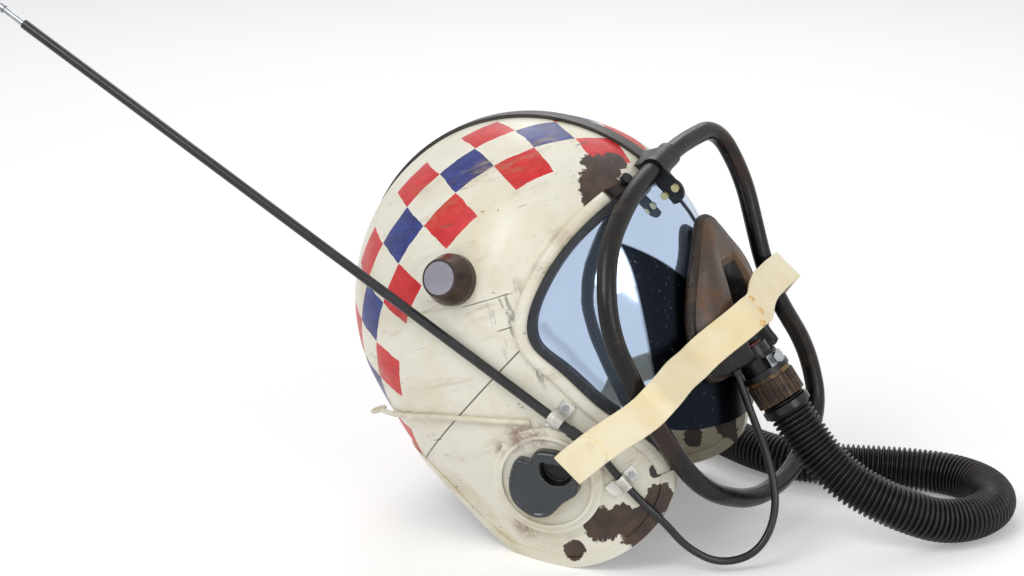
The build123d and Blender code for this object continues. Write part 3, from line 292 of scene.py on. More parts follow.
def mottle(tree, coords, size, low, high, most=1.0, detail=5.0, rough=0.6, bend=0.0, stretch=None, turn=(0, 0, 0),
           within=None):
    """Patches about size millimetres across: noise drawn out from low..high to 0..most, times within."""
    if stretch is not None:
        coords = add(tree, MAPPING, {0: coords, 2: turn, 3: stretch})
    value = add(tree, NOISE, {"Vector": coords, "Scale": 1000.0 / size, "Detail": detail, "Roughness": rough,
                              "Distortion": bend})
    value = add(tree, RANGE, {0: value, 1: low, 2: high, 4: most}, interpolation_type="SMOOTHSTEP")
    return value if within is None else add(tree, MATH, {0: value, 1: within}, operation="MULTIPLY")


def brushed(tree, under, top, coords, size, low, high, *rest, **more):
    """The top colour laid over the one under it in the patches that mottle gives."""
    return add(tree, MIX, {0: mottle(tree, coords, size, low, high, *rest, **more), 6: under, 7: top}, **TINT)


def near_to(tree, head, place, size):
    """One at a place of the head frame, falling evenly to nothing size millimetres away."""
    off = add(tree, VECTOR, {0: head, 1: [c * MM for c in place]}, out="Value", operation="DISTANCE")
    return add(tree, RANGE, {0: off, 2: size * MM, 3: 1.0, 4: 0.0})


def skin(tree, shader, coords, tint, gloss, spread, size, grain, depth):
    """Ends a finish: its tint, a roughness that drifts over size mm, and a grain of depth in metres."""
    tree.links.new(tint, shader.inputs["Base Color"])
    drift = add(tree, NOISE, {"Vector": coords, "Scale": 1000.0 / size, "Detail": 5.0, "Roughness": 0.6})
    drift = add(tree, RANGE, {0: drift, 1: 0.3, 2: 0.7, 3: gloss - spread / 2, 4: gloss + spread / 2})
    tree.links.new(drift, shader.inputs["Roughness"])
    height = add(tree, NOISE, {"Vector": coords, "Scale": 1000.0 / grain, "Detail": 4.0, "Roughness": 0.6})
    tree.links.new(add(tree, BUMP, {"Height": height, "Distance": depth}), shader.inputs["Normal"])


def worn_enamel(name, base, worn, edge, gloss, wear, size=35.0):
    """Dark brushed enamel, rubbed through to brown in patches, with streaks and pale specks."""
    material, tree, shader, coords = start(name)
    tint = brushed(tree, base, worn, coords, size, wear - 0.06, wear + 0.10, 0.85, 6.0, 0.62, 0.6)
    tint = brushed(tree, tint, edge, coords, 16.0, 0.45, 0.75, 0.4, stretch=(1, 1, 5))
    tint = brushed(tree, tint, "#7A6650", coords, 2.6, 0.66, 0.72, 0.5, 3.0, 0.7)
    shader.inputs["Specular IOR Level"].default_value = 0.32
    skin(tree, shader, coords, tint, gloss, 0.24, 20.0, 4.0, 0.00016)
    return material


def plain(name, base, other, gloss, size=16.0, grain=1.6, depth=0.00006, metal=0.0, coat=0.0, scuff=None):
    """One finish in two near tones, cloudy over size mm, with a fine grain and, if asked, scuffs."""
    material, tree, shader, coords = start(name)
    tint = brushed(tree, base, other, coords, size, 0.35, 0.70, 0.6)
    if scuff:
        tint = brushed(tree, tint, scuff, coords, 5.0, 0.60, 0.70, 0.7, 6.0, 0.75)
    shader.inputs["Metallic"].default_value = metal
    shader.inputs["Coat Weight"].default_value = coat
    skin(tree, shader, coords, tint, gloss, 0.16, 12.0, grain, depth)
    return material


# Check band: the pole that its rows go round, in the head frame, then in degrees its first row's start,
# row height, first column's turn and column width
CHECK_POLE = unit(np.array([0.567, -0.609, -0.554]))
CHECK_START, CHECK_ROW, CHECK_TURN, CHECK_COL = 75.9, 12.2, 66.2, 13.8
# Seam of the cheek pieces: its climb per metre forward, its height at the dome's middle, half its
# width and where it ends in front, metres
SEAM_SLOPE, SEAM_AT, SEAM_HALF, SEAM_FRONT = 0.515, -0.0268, 0.0006, 0.044
# Scuffed, rusty and chipped places in head-frame millimetres, each with its reach
SCUFFS = (((33, -112, 26), 16), ((28, -113, 8), 17), ((30, -112, -10), 15), ((38, -110, -30), 13),
          ((30, 112, 10), 16))
RUST = (((7, -115, -66), 12), ((20, -114, -69), 10), ((-8, -113, -72), 8), ((36, -111, -88), 9),
        ((72, -84, 42), 12), ((58, -98, 30), 10), ((-20, -108, -128), 14))
CHIPS = (((94, -50, 67), 16), ((95, -38, 77), 14), ((101, -25, 78), 9), ((91, -61, 60), 8), ((36, -103, -140), 13),
         ((49, -99, -139), 11), ((58, -95, -149), 16), ((73, -87, -136), 10), ((10, -103, -151), 8),
         ((78, -86, -117), 5), ((60, 92, -140), 13), ((28, 104, -146), 9), ((92, 52, 70), 10))
# Painted reflection on the visor: where the dark wedge that stands for the mask's reflection ends above and behind,
# metres in the head frame, and over how much
REFLECTION_WEDGE_TOP, REFLECTION_WEDGE_BACK, REFLECTION_WEDGE_EDGE = -0.0503, 0.0657, 0.002


def checks(tree, head, tint):
    """Three rows of square checks, red, blue and red, that follow a great circle of the dome.

    Rows go by the angle from CHECK_POLE and columns by the turn about it; a square is painted where
    its row and column add up to an even number. The far side is the near side's mirror image.
    """
    x, y, z = [add(tree, SPLIT, {0: head}, out=k) for k in range(3)]
    ray = add(tree, JOIN, {0: x, 1: add(tree, MATH, {0: y}, operation="ABSOLUTE"), 2: z})
    ray = add(tree, VECTOR, {0: ray, 1: (1000 / HALF_L, -1000 / HALF_W, 1000 / HALF_H)}, operation="MULTIPLY")
    ray = add(tree, VECTOR, {0: ray}, operation="NORMALIZE")
    first = unit(np.array([1.0, 0, 0]) - CHECK_POLE[0] * CHECK_POLE)
    dots = [add(tree, VECTOR, {0: ray, 1: tuple(axis)}, out="Value", operation="DOT_PRODUCT")
            for axis in (CHECK_POLE, first, np.cross(CHECK_POLE, first))]
    wobble = add(tree, NOISE, {"Vector": head, "Scale": 90.0, "Detail": 3.0})
    wobble = add(tree, MATH, {0: wobble, 1: 0.10, 2: -0.05}, operation="MULTIPLY_ADD")
    polar = add(tree, MATH, {0: dots[0]}, operation="ARCCOSINE")
    turn = add(tree, MATH, {0: dots[2], 1: dots[1]}, operation="ARCTAN2")
    counts = []
    for angle, step, shift in ((polar, CHECK_ROW, -CHECK_START / CHECK_ROW),
                               (turn, CHECK_COL, 20.5 - CHECK_TURN / CHECK_COL)):
        count = add(tree, MATH, {0: angle, 1: 1 / math.radians(step), 2: shift}, operation="MULTIPLY_ADD")
        counts.append(add(tree, MATH, {0: add(tree, MATH, {0: count, 1: wobble})}, operation="FLOOR"))
    inside = add(tree, MATH, {0: counts[0], 1: 1.0, 2: 1.1}, operation="COMPARE")
    both = add(tree, MATH, {0: add(tree, MATH, {0: counts[0], 1: counts[1]}), 1: 2.0}, operation="FLOORED_MODULO")
    even = add(tree, MATH, {0: both, 1: 0.0, 2: 0.3}, operation="COMPARE")
    mask = add(tree, MATH, {0: inside, 1: even}, operation="MULTIPLY")
    mask = mottle(tree, head, 2.4, 0.25, 0.31, 1.0, 4.0, 0.7, within=mask)
    middle = add(tree, MATH, {0: counts[0], 1: 1.0, 2: 0.3}, operation="COMPARE")
    paints = bpy.context.scene.helmet_paints
    red, blue = (brushed(tree, thick, thin, head, 8.0, 0.35, 0.75)
                 for thick, thin in ((paints.outer, paints.outer_thin), (paints.middle, paints.middle_thin)))
    painted = add(tree, MIX, {0: middle, 6: red, 7: blue}, **TINT)
    return add(tree, MIX, {0: mask, 6: tint, 7: painted}, **TINT)


def seam_line(tree, head):
    """One within SEAM_HALF of the line that parts the cheek pieces from the crown, behind SEAM_FRONT."""
    x, z = [add(tree, SPLIT, {0: head}, out=k) for k in (0, 2)]
    seam = add(tree, MATH, {0: x, 1: -SEAM_SLOPE, 2: z}, operation="MULTIPLY_ADD")
    seam = add(tree, MATH, {0: seam, 1: SEAM_AT, 2: SEAM_HALF}, operation="COMPARE")
    behind = add(tree, MATH, {0: x, 1: SEAM_FRONT}, operation="LESS_THAN")
    return add(tree, MATH, {0: seam, 1: behind}, operation="MULTIPLY")


def chipped_at(tree, head, tint, place, size):
    """Brown primer, with cream specks, within a ragged edge size millimetres from a place."""
    off = add(tree, VECTOR, {0: head, 1: [c * MM for c in place]}, out="Value", operation="DISTANCE")
    edge = add(tree, NOISE, {"Vector": head, "Scale": 75.0, "Detail": 7.0, "Roughness": 0.72})
    edge = add(tree, MATH, {0: edge, 1: size * MM * 1.6, 2: size * MM * -0.8}, operation="MULTIPLY_ADD")
    edge = add(tree, MATH, {0: off, 1: edge})
    chip = add(tree, RANGE, {0: edge, 1: size * MM * 0.97, 2: size * MM, 3: 1.0, 4: 0.0})
    primer = brushed(tree, "#33241C", "#4A372B", head, 14.0, 0.40, 0.65, detail=4.0)
    primer = brushed(tree, primer, "#A08C6C", head, 1.6, 0.64, 0.70, 0.7, 4.0, 0.7)
    return add(tree, MIX, {0: chip, 6: tint, 7: primer}, **TINT)


# Glazes, streaks and specks over the cream: colour, then mottle's size, low, high, most, detail,
# roughness, bend, stretch and turn; the first two are broken up by the brush strokes
GLAZES = (("#A38E68", 55.0, 0.50, 0.74, 0.85, 7.0, 0.62, 0.5, (1.0, 1.0, 2.6), (0, 0.6, 0)),
          ("#6F6A62", 80.0, 0.58, 0.70, 0.55, 7.0, 0.66, 0.3, (1.0, 1.0, 1.6), (0, -0.7, 0)),
          ("#3A2E26", 20.0, 0.725, 0.745, 0.8, 2.0, 0.5, 0.0, (0.35, 1.0, 7.0), (0, 0.9, 0)),
          ("#5A4836", 7.0, 0.70, 0.73, 0.7, 3.0, 0.7))


def shell_paint(name, banded=True, chipped=True):
    """Cream brush-painted lacquer over brown primer on a glass-fibre shell.

    Ochre and grey-brown glazes are brushed over the cream, thin dark scratches cut through it, and
    chips show the primer; the brush marks stand about a fifth of a millimetre proud.
    """
    material, tree, shader, head = start(name, LEAN)
    paints = bpy.context.scene.helmet_paints
    tint = brushed(tree, paints.shell, paints.shell_thin, head, 70.0, 0.40, 0.72, 1.0, 6.0, 0.6, 0.8)
    if banded:
        tint = checks(tree, head, tint)
    strokes = mottle(tree, head, 9.0, 0.35, 0.75, stretch=(0.25, 1.0, 3.0), turn=(0, -0.5, 0))
    for number, (glaze, *values) in enumerate(GLAZES):
        tint = brushed(tree, tint, glaze, head, *values, within=strokes if number < 2 else None)
    for place, size in RUST:
        tint = brushed(tree, tint, "#6E3A12", head, 5.0, 0.36, 0.56, 0.95, 5.0, 0.7,
                       within=near_to(tree, head, place, size))
    if banded:
        tint = brushed(tree, tint, "#3A2A1C", head, 6.0, 0.30, 0.36, 0.85, within=seam_line(tree, head))
        for place, size in SCUFFS:
            tint = brushed(tree, tint, "#3B3833", head, 7.0, 0.50, 0.56, 0.8, 5.0, 0.7, 0.0,
                           (1.0, 1.0, 0.22), (0, 0.25, 0), near_to(tree, head, place, size))
    if chipped:
        for place, size in CHIPS:
            tint = chipped_at(tree, head, tint, place, size)
    tree.links.new(tint, shader.inputs["Base Color"])
    drift = add(tree, NOISE, {"Vector": head, "Scale": 35.0, "Detail": 5.0})
    tree.links.new(add(tree, RANGE, {0: drift, 1: 0.3, 2: 0.7, 3: 0.30, 4: 0.48}), shader.inputs["Roughness"])
    brush = add(tree, MAPPING, {0: head, 2: (0.0, -0.5, 0.0), 3: (0.3, 1.0, 2.5)})
    brush = add(tree, NOISE, {"Vector": brush, "Scale": 190.0, "Detail": 5.0, "Roughness": 0.6})
    tree.links.new(add(tree, BUMP, {"Height": brush, "Distance": 0.0002}), shader.inputs["Normal"])
    return material


def visor_mirror(name):
    """Mirror-coated acrylic: silvery blue, with a near-black painted reflection low down and in a wedge on each side.

    The painted reflection stands for the dark surroundings and the mask that the visor mirrors; there it is duller,
    with fine pale scuffs.
    """
    material, tree, shader, head = start(name, LEAN)
    side, up = [add(tree, SPLIT, {0: head}, out=k) for k in (1, 2)]
    side = add(tree, MATH, {0: side}, operation="ABSOLUTE")
    drift = add(tree, NOISE, {"Vector": head, "Scale": 30.0, "Detail": 6.0, "Roughness": 0.7})
    height = add(tree, MATH, {0: drift, 1: 0.03, 2: up}, operation="MULTIPLY_ADD")
    # Painted reflection: near black low down on the visor, standing for the dark surroundings that it mirrors
    painted_reflection = add(tree, RANGE, {0: height, 1: -0.085, 2: -0.050, 3: 1.0, 4: 0.0}, interpolation_type="SMOOTHSTEP")
    wedge = []
    # and a wedge on each side, a painted reflection of the mask
    for run, slope, rise, end in ((side, -1.25, up, REFLECTION_WEDGE_TOP), (up, 0.095, side, REFLECTION_WEDGE_BACK)):
        run = add(tree, MATH, {0: run, 1: slope, 2: rise}, operation="MULTIPLY_ADD")
        wedge.append(add(tree, RANGE, {0: run, 1: end, 2: end + REFLECTION_WEDGE_EDGE, 3: 1.0, 4: 0.0}))
    wedge = add(tree, MATH, {0: wedge[0], 1: wedge[1]}, operation="MULTIPLY")
    painted_reflection = add(tree, MATH, {0: painted_reflection, 1: wedge}, operation="MAXIMUM")
    # The painted reflection's near-black colour, laid over the silvery blue coat
    tint = add(tree, MIX, {0: painted_reflection, 6: bpy.context.scene.helmet_paints.visor, 7: "#10151F"}, **TINT)
    tint = brushed(tree, tint, "#8E9AAE", head, 3.5, 0.60, 0.72, 0.5, 6.0, 0.75, within=painted_reflection)
    tree.links.new(tint, shader.inputs["Base Color"])
    shader.inputs["Metallic"].default_value = 0.9
    tree.links.new(add(tree, RANGE, {0: painted_reflection, 3: 0.05, 4: 0.28}), shader.inputs["Roughness"])
    return material


def strap_webbing(name):
    """Cream coated webbing, yellowed, with small brown stains and a diagonal weave 1.1 mm apart."""
    material, tree, shader, coords = start(name)
    tint = brushed(tree, "#FBF0D0", "#F1DEAE", coords, 55.0, 0.38, 0.72)
    places = mottle(tree, coords, 40.0, 0.54, 0.64, detail=2.0)
    tint = brushed(tree, tint, "#8A5E2C", coords, 6.0, 0.62, 0.72, 0.8, 6.0, 0.75, 0.5, within=places)
    tint = brushed(tree, tint, "#C79F5E", coords, 20.0, 0.64, 0.78, 0.4)
    tree.links.new(tint, shader.inputs["Base Color"])
    shader.inputs["Roughness"].default_value = 0.5
    weave = add(tree, "TexWave", {"Vector": coords, "Scale": 320.0, "Distortion": 1.5, "Detail": 2.0},
                out="Fac", wave_type="BANDS", bands_direction="DIAGONAL")
    tree.links.new(add(tree, BUMP, {"Height": weave, "Distance": 0.00008}), shader.inputs["Normal"])
    return material


# Each finish: the shown nodes that wear it, the function that makes it and that function's values. The
# comment over it says what it gives the eye.
FINISHES = {
    # thick cream paint with strokes, scratches and chips down to brown
    "brushed cream lacquer": ("crown_shell cheek_shell_right cheek_shell_left", shell_paint),
    # the same cream, whole and without checks
    "cream lacquer fitting": ("ear_boss_right ear_boss_left", shell_paint, False, False),
    # the same cream, chipped to brown
    "chipped cream edging": ("lower_edging", shell_paint, False, True),
    # near black, brown where hands and straps rub it
    "brushed steel enamel": ("brow_bar guard_ring", worn_enamel, "#0B0A09", "#38231A", "#1F1512", 0.30, 0.58),
    # dark grey with pale rubbed edges
    "grey fitting enamel": ("ring_clamp brow_bolts valve_housing hose_tail hose_clamp hose_plug", worn_enamel,
                            "#17181B", "#33241D", "#3E3F46", 0.30, 0.64),
    # dull black with a fine pebbled skin
    "moulded black rubber": ("plug_seal", plain, "#141313", "#2B2623", 0.55, 25.0, 1.6, 0.0001),
    # dusty dark grey with a soft shine
    "moulded strip rubber": ("crown_strip", plain, "#26221F", "#45423E", 0.42, 30.0, 2.0, 0.0001),
    # blue-black with pale scuffs
    "scuffed seal rubber": ("edge_seal", plain, "#11141A", "#2A2F38", 0.45, 9.0, 1.2, 0.0001, 0.0, 0.0, "#77808C"),
    # dull black, browned in patches
    "corrugated hose rubber": ("", worn_enamel, "#121111", "#2E211B", "#241C18", 0.40, 0.62),
    # warm brown-grey with tan rubbed patches
    "moulded mask polymer": ("", worn_enamel, "#4B403A", "#5E4126", "#6E5238", 0.32, 0.50, 30.0),
    # dark brown, perished
    "worn mask rubber": ("", worn_enamel, "#211A15", "#3B2E24", "#4A3B30", 0.38, 0.55, 18.0),
    # dark brown metal with tan edges
    "turned brown alloy": ("union_nut", worn_enamel, "#2A1D15", "#55402C", "#6A5138", 0.36, 0.50, 16.0),
    # dull yellow under a brown film
    "tarnished brass band": ("outlet_band", worn_enamel, "#3A2C1C", "#8A6A3C", "#A08048", 0.30, 0.50, 9.0),
    # painted shade: almost black, the shade of the mask's hollow, of its low part and of the strap pockets painted on
    "painted shade rubber": ("", worn_enamel, "#0F0E0D", "#1E1815", "#211B18", 0.30, 0.62),
    # yellow metal, browned, and a paler one half dulled
    "brass": ("", plain, "#C9A66A", "#8C6A33", 0.32, 11.0, 1.5, 0.00005, 1.0),
    "pale brass": ("clamp_rivets", plain, "#E4DBA8", "#B59F62", 0.35, 8.0, 1.5, 0.00005, 0.6),
    # bright grey with dull patches
    "machined steel": ("knob_shaft knob_nut antenna_rod clip_screws outlet_block block_bolt", plain,
                       "#A4A8AC", "#6F6F70", 0.28, 14.0, 1.5, 0.00005, 1.0),
    # soft silver, smudged
    "bare aluminium strip": ("antenna_clip_upper antenna_clip_lower", plain,
                             "#D9D8D2", "#8E8A80", 0.38, 9.0, 1.2, 0.00006, 0.85),
    # smooth black with a faint blue cloud
    "black anodised tube": ("antenna_tube antenna_ferrule", plain, "#0E0E0F", "#25262A", 0.30, 18.0, 1.0, 0.00004),
    # wet-looking blue-black
    "glossy slate moulding": ("", plain, "#20262B", "#2E3439", 0.20, 40.0, 3.0, 0.00004, 0.0, 0.3),
    # shiny dark brown, slightly mottled
    "moulded brown phenolic": ("knob_base knob", plain, "#2B1A14", "#4A3327", 0.28, 18.0, 1.5, 0.00006),
    # satin lilac grey
    "grey moulded cap": ("knob_cap", plain, "#8C8A96", "#A9A7B2", 0.35, 22.0, 1.5, 0.00003),
    # off-white paint, yellowed
    "white lacquered wire": ("tie_wire", plain, "#E5E0CC", "#BDB296", 0.40, 12.0, 1.5, 0.00006),
    # matt dark grey with open pores
    "grey liner foam": ("", plain, "#2B2C2E", "#3A3A3B", 0.85, 8.0, 0.8, 0.0003),
    # brown and creased, half matt
    "brown pad leather": ("", plain, "#3B2618", "#543A26", 0.50, 16.0, 1.8, 0.0002),
    # plain black, half matt
    "moulded black plastic": ("earphone_right earphone_left exhale_seat microphone mic_gland", plain,
                              "#151516", "#26262A", 0.45, 14.0, 1.2, 0.00006),
    # dull brick red
    "red valve rubber": ("inhale_valve exhale_valve", plain, "#6B2C1C", "#7D3B28", 0.5, 14.0, 1.2, 0.00004),
    # silvery blue mirror with a near-black painted reflection low down and in side wedges; yellowed cream cloth with
    # brown stains
    "mirrored acrylic": ("visor", visor_mirror),
    "coated cream webbing": ("", strap_webbing),
}


def finish_named(name):
    """The finish of that name, made the first time that it is asked for."""
    maker, *values = FINISHES[name][1:]
    return bpy.data.materials.get(name) or maker(name, *values)


# ---- cords
HOSE_ROUTE = [(175.07, 0, -50.06), (192.19, 0, -74.70), (206, 0, -90), (222, 0, -103), (240, 3, -113), (260, 9, -122),
              (281, 22, -131.5), (300, 44, -134.8), (309, 76, -134.8), (296, 106, -134.8), (268, 122, -134.8),
              (232, 121, -134.8), (201, 114, -134.8), (174, 107, -134.8), (148, 108, -134.8), (122, 118, -134.8),
              (97, 134, -134.8), (70, 153, -134.8), (44, 170, -134.8), (16, 180, -134.8), (-16, 186, -134.8)]
CABLE_ROUTE = [(80.3, -118.5, -54.8), (89.9, -118.4, -60.6), (91.3, -103.6, -75.5), (107.0, -97.6, -95.4),
               (124.0, -92.0, -112.0), (138.0, -84.0, -132.0), (158.0, -74.0, -144.0), (180.0, -60.0, -138.0),
               (188.0, -47.0, -112.0), (178.0, -35.0, -82.0), (162.0, -25.0, -56.0), (153.7, -21.6, -38.8),
               (150.1, -21.6, -29.9)]


def nurbs(name, route, bevel=0.0):
    """A curve object whose one spline has the route's points, in millimetres, as control points."""
    data = bpy.data.curves.new(name, "CURVE")
    data.dimensions = "3D"
    spline = data.splines.new("NURBS")
    spline.points.add(len(route) - 1)
    spline.points.foreach_set("co", np.array([(*[c * MM for c in p], 1.0) for p in route]).ravel())
    spline.order_u = 3
    spline.use_endpoint_u = True
    spline.resolution_u = 24
    data.bevel_depth = bevel
    data.bevel_resolution = 5
    data.use_fill_caps = bevel > 0
    piece = bpy.data.objects.new(name, data)
    bpy.context.scene.collection.objects.link(piece)
    return piece


def line_of(route):
    """Points along the route's NURBS spline, as Blender gives them for a curve with no bevel."""
    piece = nurbs("route", route)
    bpy.context.view_layer.update()
    mesh = bpy.data.meshes.new_from_object(piece)
    points = np.zeros(len(mesh.vertices) * 3)
    mesh.vertices.foreach_get("co", points)
    bpy.data.objects.remove(piece)
    bpy.data.meshes.remove(mesh)
    return points.reshape(-1, 3)


def rib_radius(share, ribs, root, crest):
    """Radius along a ribbed hose: a raised cosine for each rib, with flattened crests."""
    wave = 0.5 - 0.5 * np.cos(2 * np.pi * share * ribs)
    return root + (crest - root) * np.clip(wave * 1.35 - 0.12, 0, 1) ** 0.8


RIB_STEPS = 8  # points along each rib


class HelmetCords(bpy.types.PropertyGroup):
    hose_width: bpy.props.FloatProperty(name="Hose width", description="Over the hose's ribs", default=0.030,
                                        unit="LENGTH", min=0.02, max=0.04)
    hose_root: bpy.props.FloatProperty(name="Hose root", description="Between the hose's ribs", default=0.0245,
                                       unit="LENGTH", min=0.015, max=0.035)
    rib_pitch: bpy.props.FloatProperty(name="Rib pitch", description="From rib to rib", default=0.0036, unit="LENGTH",
                                       min=0.003, max=0.01)
    cable_width: bpy.props.FloatProperty(name="Cable width", description="Of the microphone cable", default=0.0052,
                                         unit="LENGTH", min=0.003, max=0.008)


class HELMET_OT_hose(bpy.types.Operator):
    """Ribbed hose from the union nut down to the table and round behind the helmet to its plug"""
    bl_idname = "helmet.hose"
    bl_label = "Ribbed hose"

    def execute(self, context):
        sizes = context.scene.helmet_cords
        line = line_of(HOSE_ROUTE)
        length = length_of(line)
        ribs = round(length / sizes.rib_pitch)
        line = even_line(line, ribs * RIB_STEPS + 1)
        share = np.linspace(0, 1, len(line))
        radius = rib_radius(share, ribs, sizes.hose_root / 2, sizes.hose_width / 2)
        profile = ring_profile(1.0, count=28)[None] * radius[:, None, None]
        piece = face_outward(grid_piece("ribbed_hose", sweep(line, profile), "corrugated hose rubber"))
        stand_in(piece, "hose")
        return {"FINISHED"}


class HELMET_OT_cable(bpy.types.Operator):
    """Microphone cable from the antenna's ferrule, through the lower clip and up to the mask"""
    bl_idname = "helmet.cable"
    bl_label = "Microphone cable"

    def execute(self, context):
        sizes = context.scene.helmet_cords
        line = line_of(CABLE_ROUTE)
        piece = nurbs("microphone_cable", CABLE_ROUTE, sizes.cable_width / 2)
        piece.data.materials.append(finish_named("black anodised tube"))
        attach(piece, "helmet")
        stand_in(piece, "mic_cable")
        return {"FINISHED"}


# ---- strap
# The strap's plane: its middle in the head frame, millimetres, and its climb forward
STRAP_AT, STRAP_SLOPE = (37.0, 0.0, -97.0), math.radians(27.0)
STRAP_RUN, STRAP_T, STRAP_W = 116.0, 2.0, 24.0
# The strap's corners as shares of STRAP_RUN forward and of the shell's half width sideways, and the
# radii that they are rounded with, millimetres
STRAP_SHARES = [(0.02, -1.07), (0.735, -1.078), (0.80, -0.53), (1.085, -0.165), (1.075, 0.135), (1.092, 0.70),
                (0.60, 1.03), (0.02, 1.07)]
STRAP_RADII = [8.9, 22.0, 14.0, 14.0, 8.9, 40.0]
# How far the band stands off its plane along its run, millimetres: (share of the run, rise)
STRAP_RISE = [(0, 3.0), (0.05, 1.0), (0.09, -2.0), (0.17, -7.0), (0.25, -5.0), (0.345, -4.0), (0.40, -5.5),
              (0.44, -8.0), (0.49, -8.5), (0.53, -3.0), (0.57, 1.0), (0.65, 0.0), (1.0, 0.0)]
STRAP_EDGE = 7.0  # power of the band's super-ellipse section: nearly square
# The lapped end: its length, how far its line leaves the first corner sideways, where its tip starts
# to narrow as a share of it, and the share of the whole run that it covers
LAP_LONG, LAP_SIDE, LAP_TIP, LAP_SHARE, LAP_COUNT = 30.0, -0.2, 0.66, 0.07, 40
# Studs: share of the band's run and how far up or down it, then their radius and height, millimetres
STUDS, STUD_R, STUD_H = [(0.455, -9.0), (0.478, -2.0), (0.487, 8.0)], 2.4, 1.6


def rounded(points, radii, step=1.0):
    """A polyline with its corners rounded by arcs of the given radii, sampled every step."""
    p = np.asarray(points, float)
    line = [p[0]]
    for k in range(1, len(p) - 1):
        before, after = p[k - 1] - p[k], p[k + 1] - p[k]
        a, b = unit(before), unit(after)
        half = math.acos(np.clip(a @ b, -1, 1)) / 2
        longest = 0.48 * min(np.linalg.norm(before), np.linalg.norm(after))
        radius = min(radii[k - 1], longest * math.tan(half))
        reach = radius / math.tan(half)
        middle = p[k] + unit(a + b) * radius / math.sin(half)
        first, last = p[k] + a * reach - middle, p[k] + b * reach - middle
        turn = math.pi - 2 * half
        share = np.linspace(0, 1, max(4, int(turn * radius / step) + 2))[:, None]
        line.extend(middle + (first * np.sin((1 - share) * turn) + last * np.sin(share * turn)) / math.sin(turn))
    line = np.array([*line, p[-1]])
    return even_line(line, int(length_of(line) / step) + 2)


def strap_rise(share):
    """How far the band stands off its plane at shares of its run, millimetres."""
    return np.interp(share, *np.array(STRAP_RISE).T)


def strap_space(flat, rise):
    """Points of the strap's plane (along, side) raised by rise, in the head frame."""
    c, s = math.cos(STRAP_SLOPE), math.sin(STRAP_SLOPE)
    ahead = flat[..., 0]
    return np.stack([STRAP_AT[0] + ahead * c - rise * s, flat[..., 1], STRAP_AT[2] + ahead * s + rise * c], -1)


def strap_band(flat, waves=0.35):
    """The band along a line of the strap's plane: a super-ellipse section that two sines wave."""
    out = beside(flat)[1]
    profile = ring_profile(STRAP_T / 2, STRAP_W / 2, 20, STRAP_EDGE)
    run = np.arange(len(flat))
    kernel = np.hanning(25) / np.hanning(25).sum()
    rises = np.convolve(np.pad(strap_rise(run / run[-1]), 12, mode="edge"), kernel, mode="valid")
    wave = rises + waves * (np.sin(run * 0.071) + 0.6 * np.sin(run * 0.163 + 1.2))
    spread = flat[:, None, :] + out[:, None, :] * profile[None, :, :1]
    return strap_space(spread, profile[None, :, 1] + wave[:, None])


def strap_lap(corner):
    """The band's lapped end on top of it: its width narrows to a rounded tip by a power of 2.4."""
    run = even_line(np.array([corner, (corner[0] + LAP_LONG, corner[1] + LAP_SIDE)]), LAP_COUNT)
    past = np.clip((np.linspace(0, 1, LAP_COUNT) - LAP_TIP) / (1 - LAP_TIP), 0, 1)
    width = STRAP_W * np.sqrt(np.clip(1 - past ** 2.4, 0.0025, 1))
    profile = ring_profile(STRAP_T / 2, 0.5, 20, STRAP_EDGE)
    spread = run[:, None, :] + beside(run)[1][:, None, :] * (profile[None, :, :1] + STRAP_T + 0.1)
    rises = strap_rise(np.linspace(0, LAP_SHARE, LAP_COUNT))
    return strap_space(spread, profile[None, :, 1] * width[:, None] + rises[:, None])


def strap_stud(flat, share, side):
    """A domed stud: a quarter circle spun about the band's normal at a share of its run."""
    at = int(share * (len(flat) - 1))
    ahead, out = (vectors[at] for vectors in beside(flat))
    rim, turn = np.linspace(0, np.pi / 2, 7), np.linspace(0, 2 * np.pi, 16, endpoint=False)
    spread = (STUD_R * np.cos(rim))[:, None]
    lift = (STRAP_T / 2 - 0.3 + STUD_H * np.sin(rim))[:, None] * np.ones(16)
    plane = flat[at] + ahead * (spread * np.cos(turn))[..., None] + out * lift[..., None]
    points = strap_space(plane, side + strap_rise(at / (len(flat) - 1)) + spread * np.sin(turn))
    foot = points[:1] * 0.1 + points[:1].mean(1, keepdims=True) * 0.9
    return np.concatenate([foot, points])


class HELMET_OT_strap(bpy.types.Operator):
    """Mask strap over the guard ring and round the front of the mask, with its studs and lapped end"""
    bl_idname = "helmet.strap"
    bl_label = "Mask strap"

    def execute(self, context):
        corners = [(a * STRAP_RUN, b * HALF_W) for a, b in STRAP_SHARES]
        flat = rounded(corners, STRAP_RADII)
        band = face_outward(grid_piece("strap_band", to_row(strap_band(flat)), "coated cream webbing"))
        stand_in(band, "mask_strap")
        for number, (share, side) in enumerate(STUDS):
            stud = face_outward(grid_piece(f"strap_stud_{number + 1}", to_row(strap_stud(flat, share, side)), "brass"))
            stand_in(stud, "strap_studs")
        lap = face_outward(grid_piece("strap_lap", to_row(strap_lap(corners[0])), "coated cream webbing"))
        stand_in(lap, "strap_end_tab")
        return {"FINISHED"}


# ---- strap receivers
# Receiver's outline round the ear boss's middle, millimetres forward and up in the boss's plane
HEART = [(-24.5, 3.0), (-19.0, 14.5), (-9.0, 21.5), (-4.5, 19.0), (2.0, 22.5), (9.5, 21.5), (17.5, 17.0), (22.0, 8.0),
         (22.5, -4.0), (19.5, -11.5), (9.0, -15.0), (-4.5, -21.0), (-14.0, -19.5), (-21.0, -13.0), (-25.0, -3.5)]
EAR_AT, RECEIVER_LOW, RECEIVER_TOP = (14.95, -99.2), 3.8, 13.2
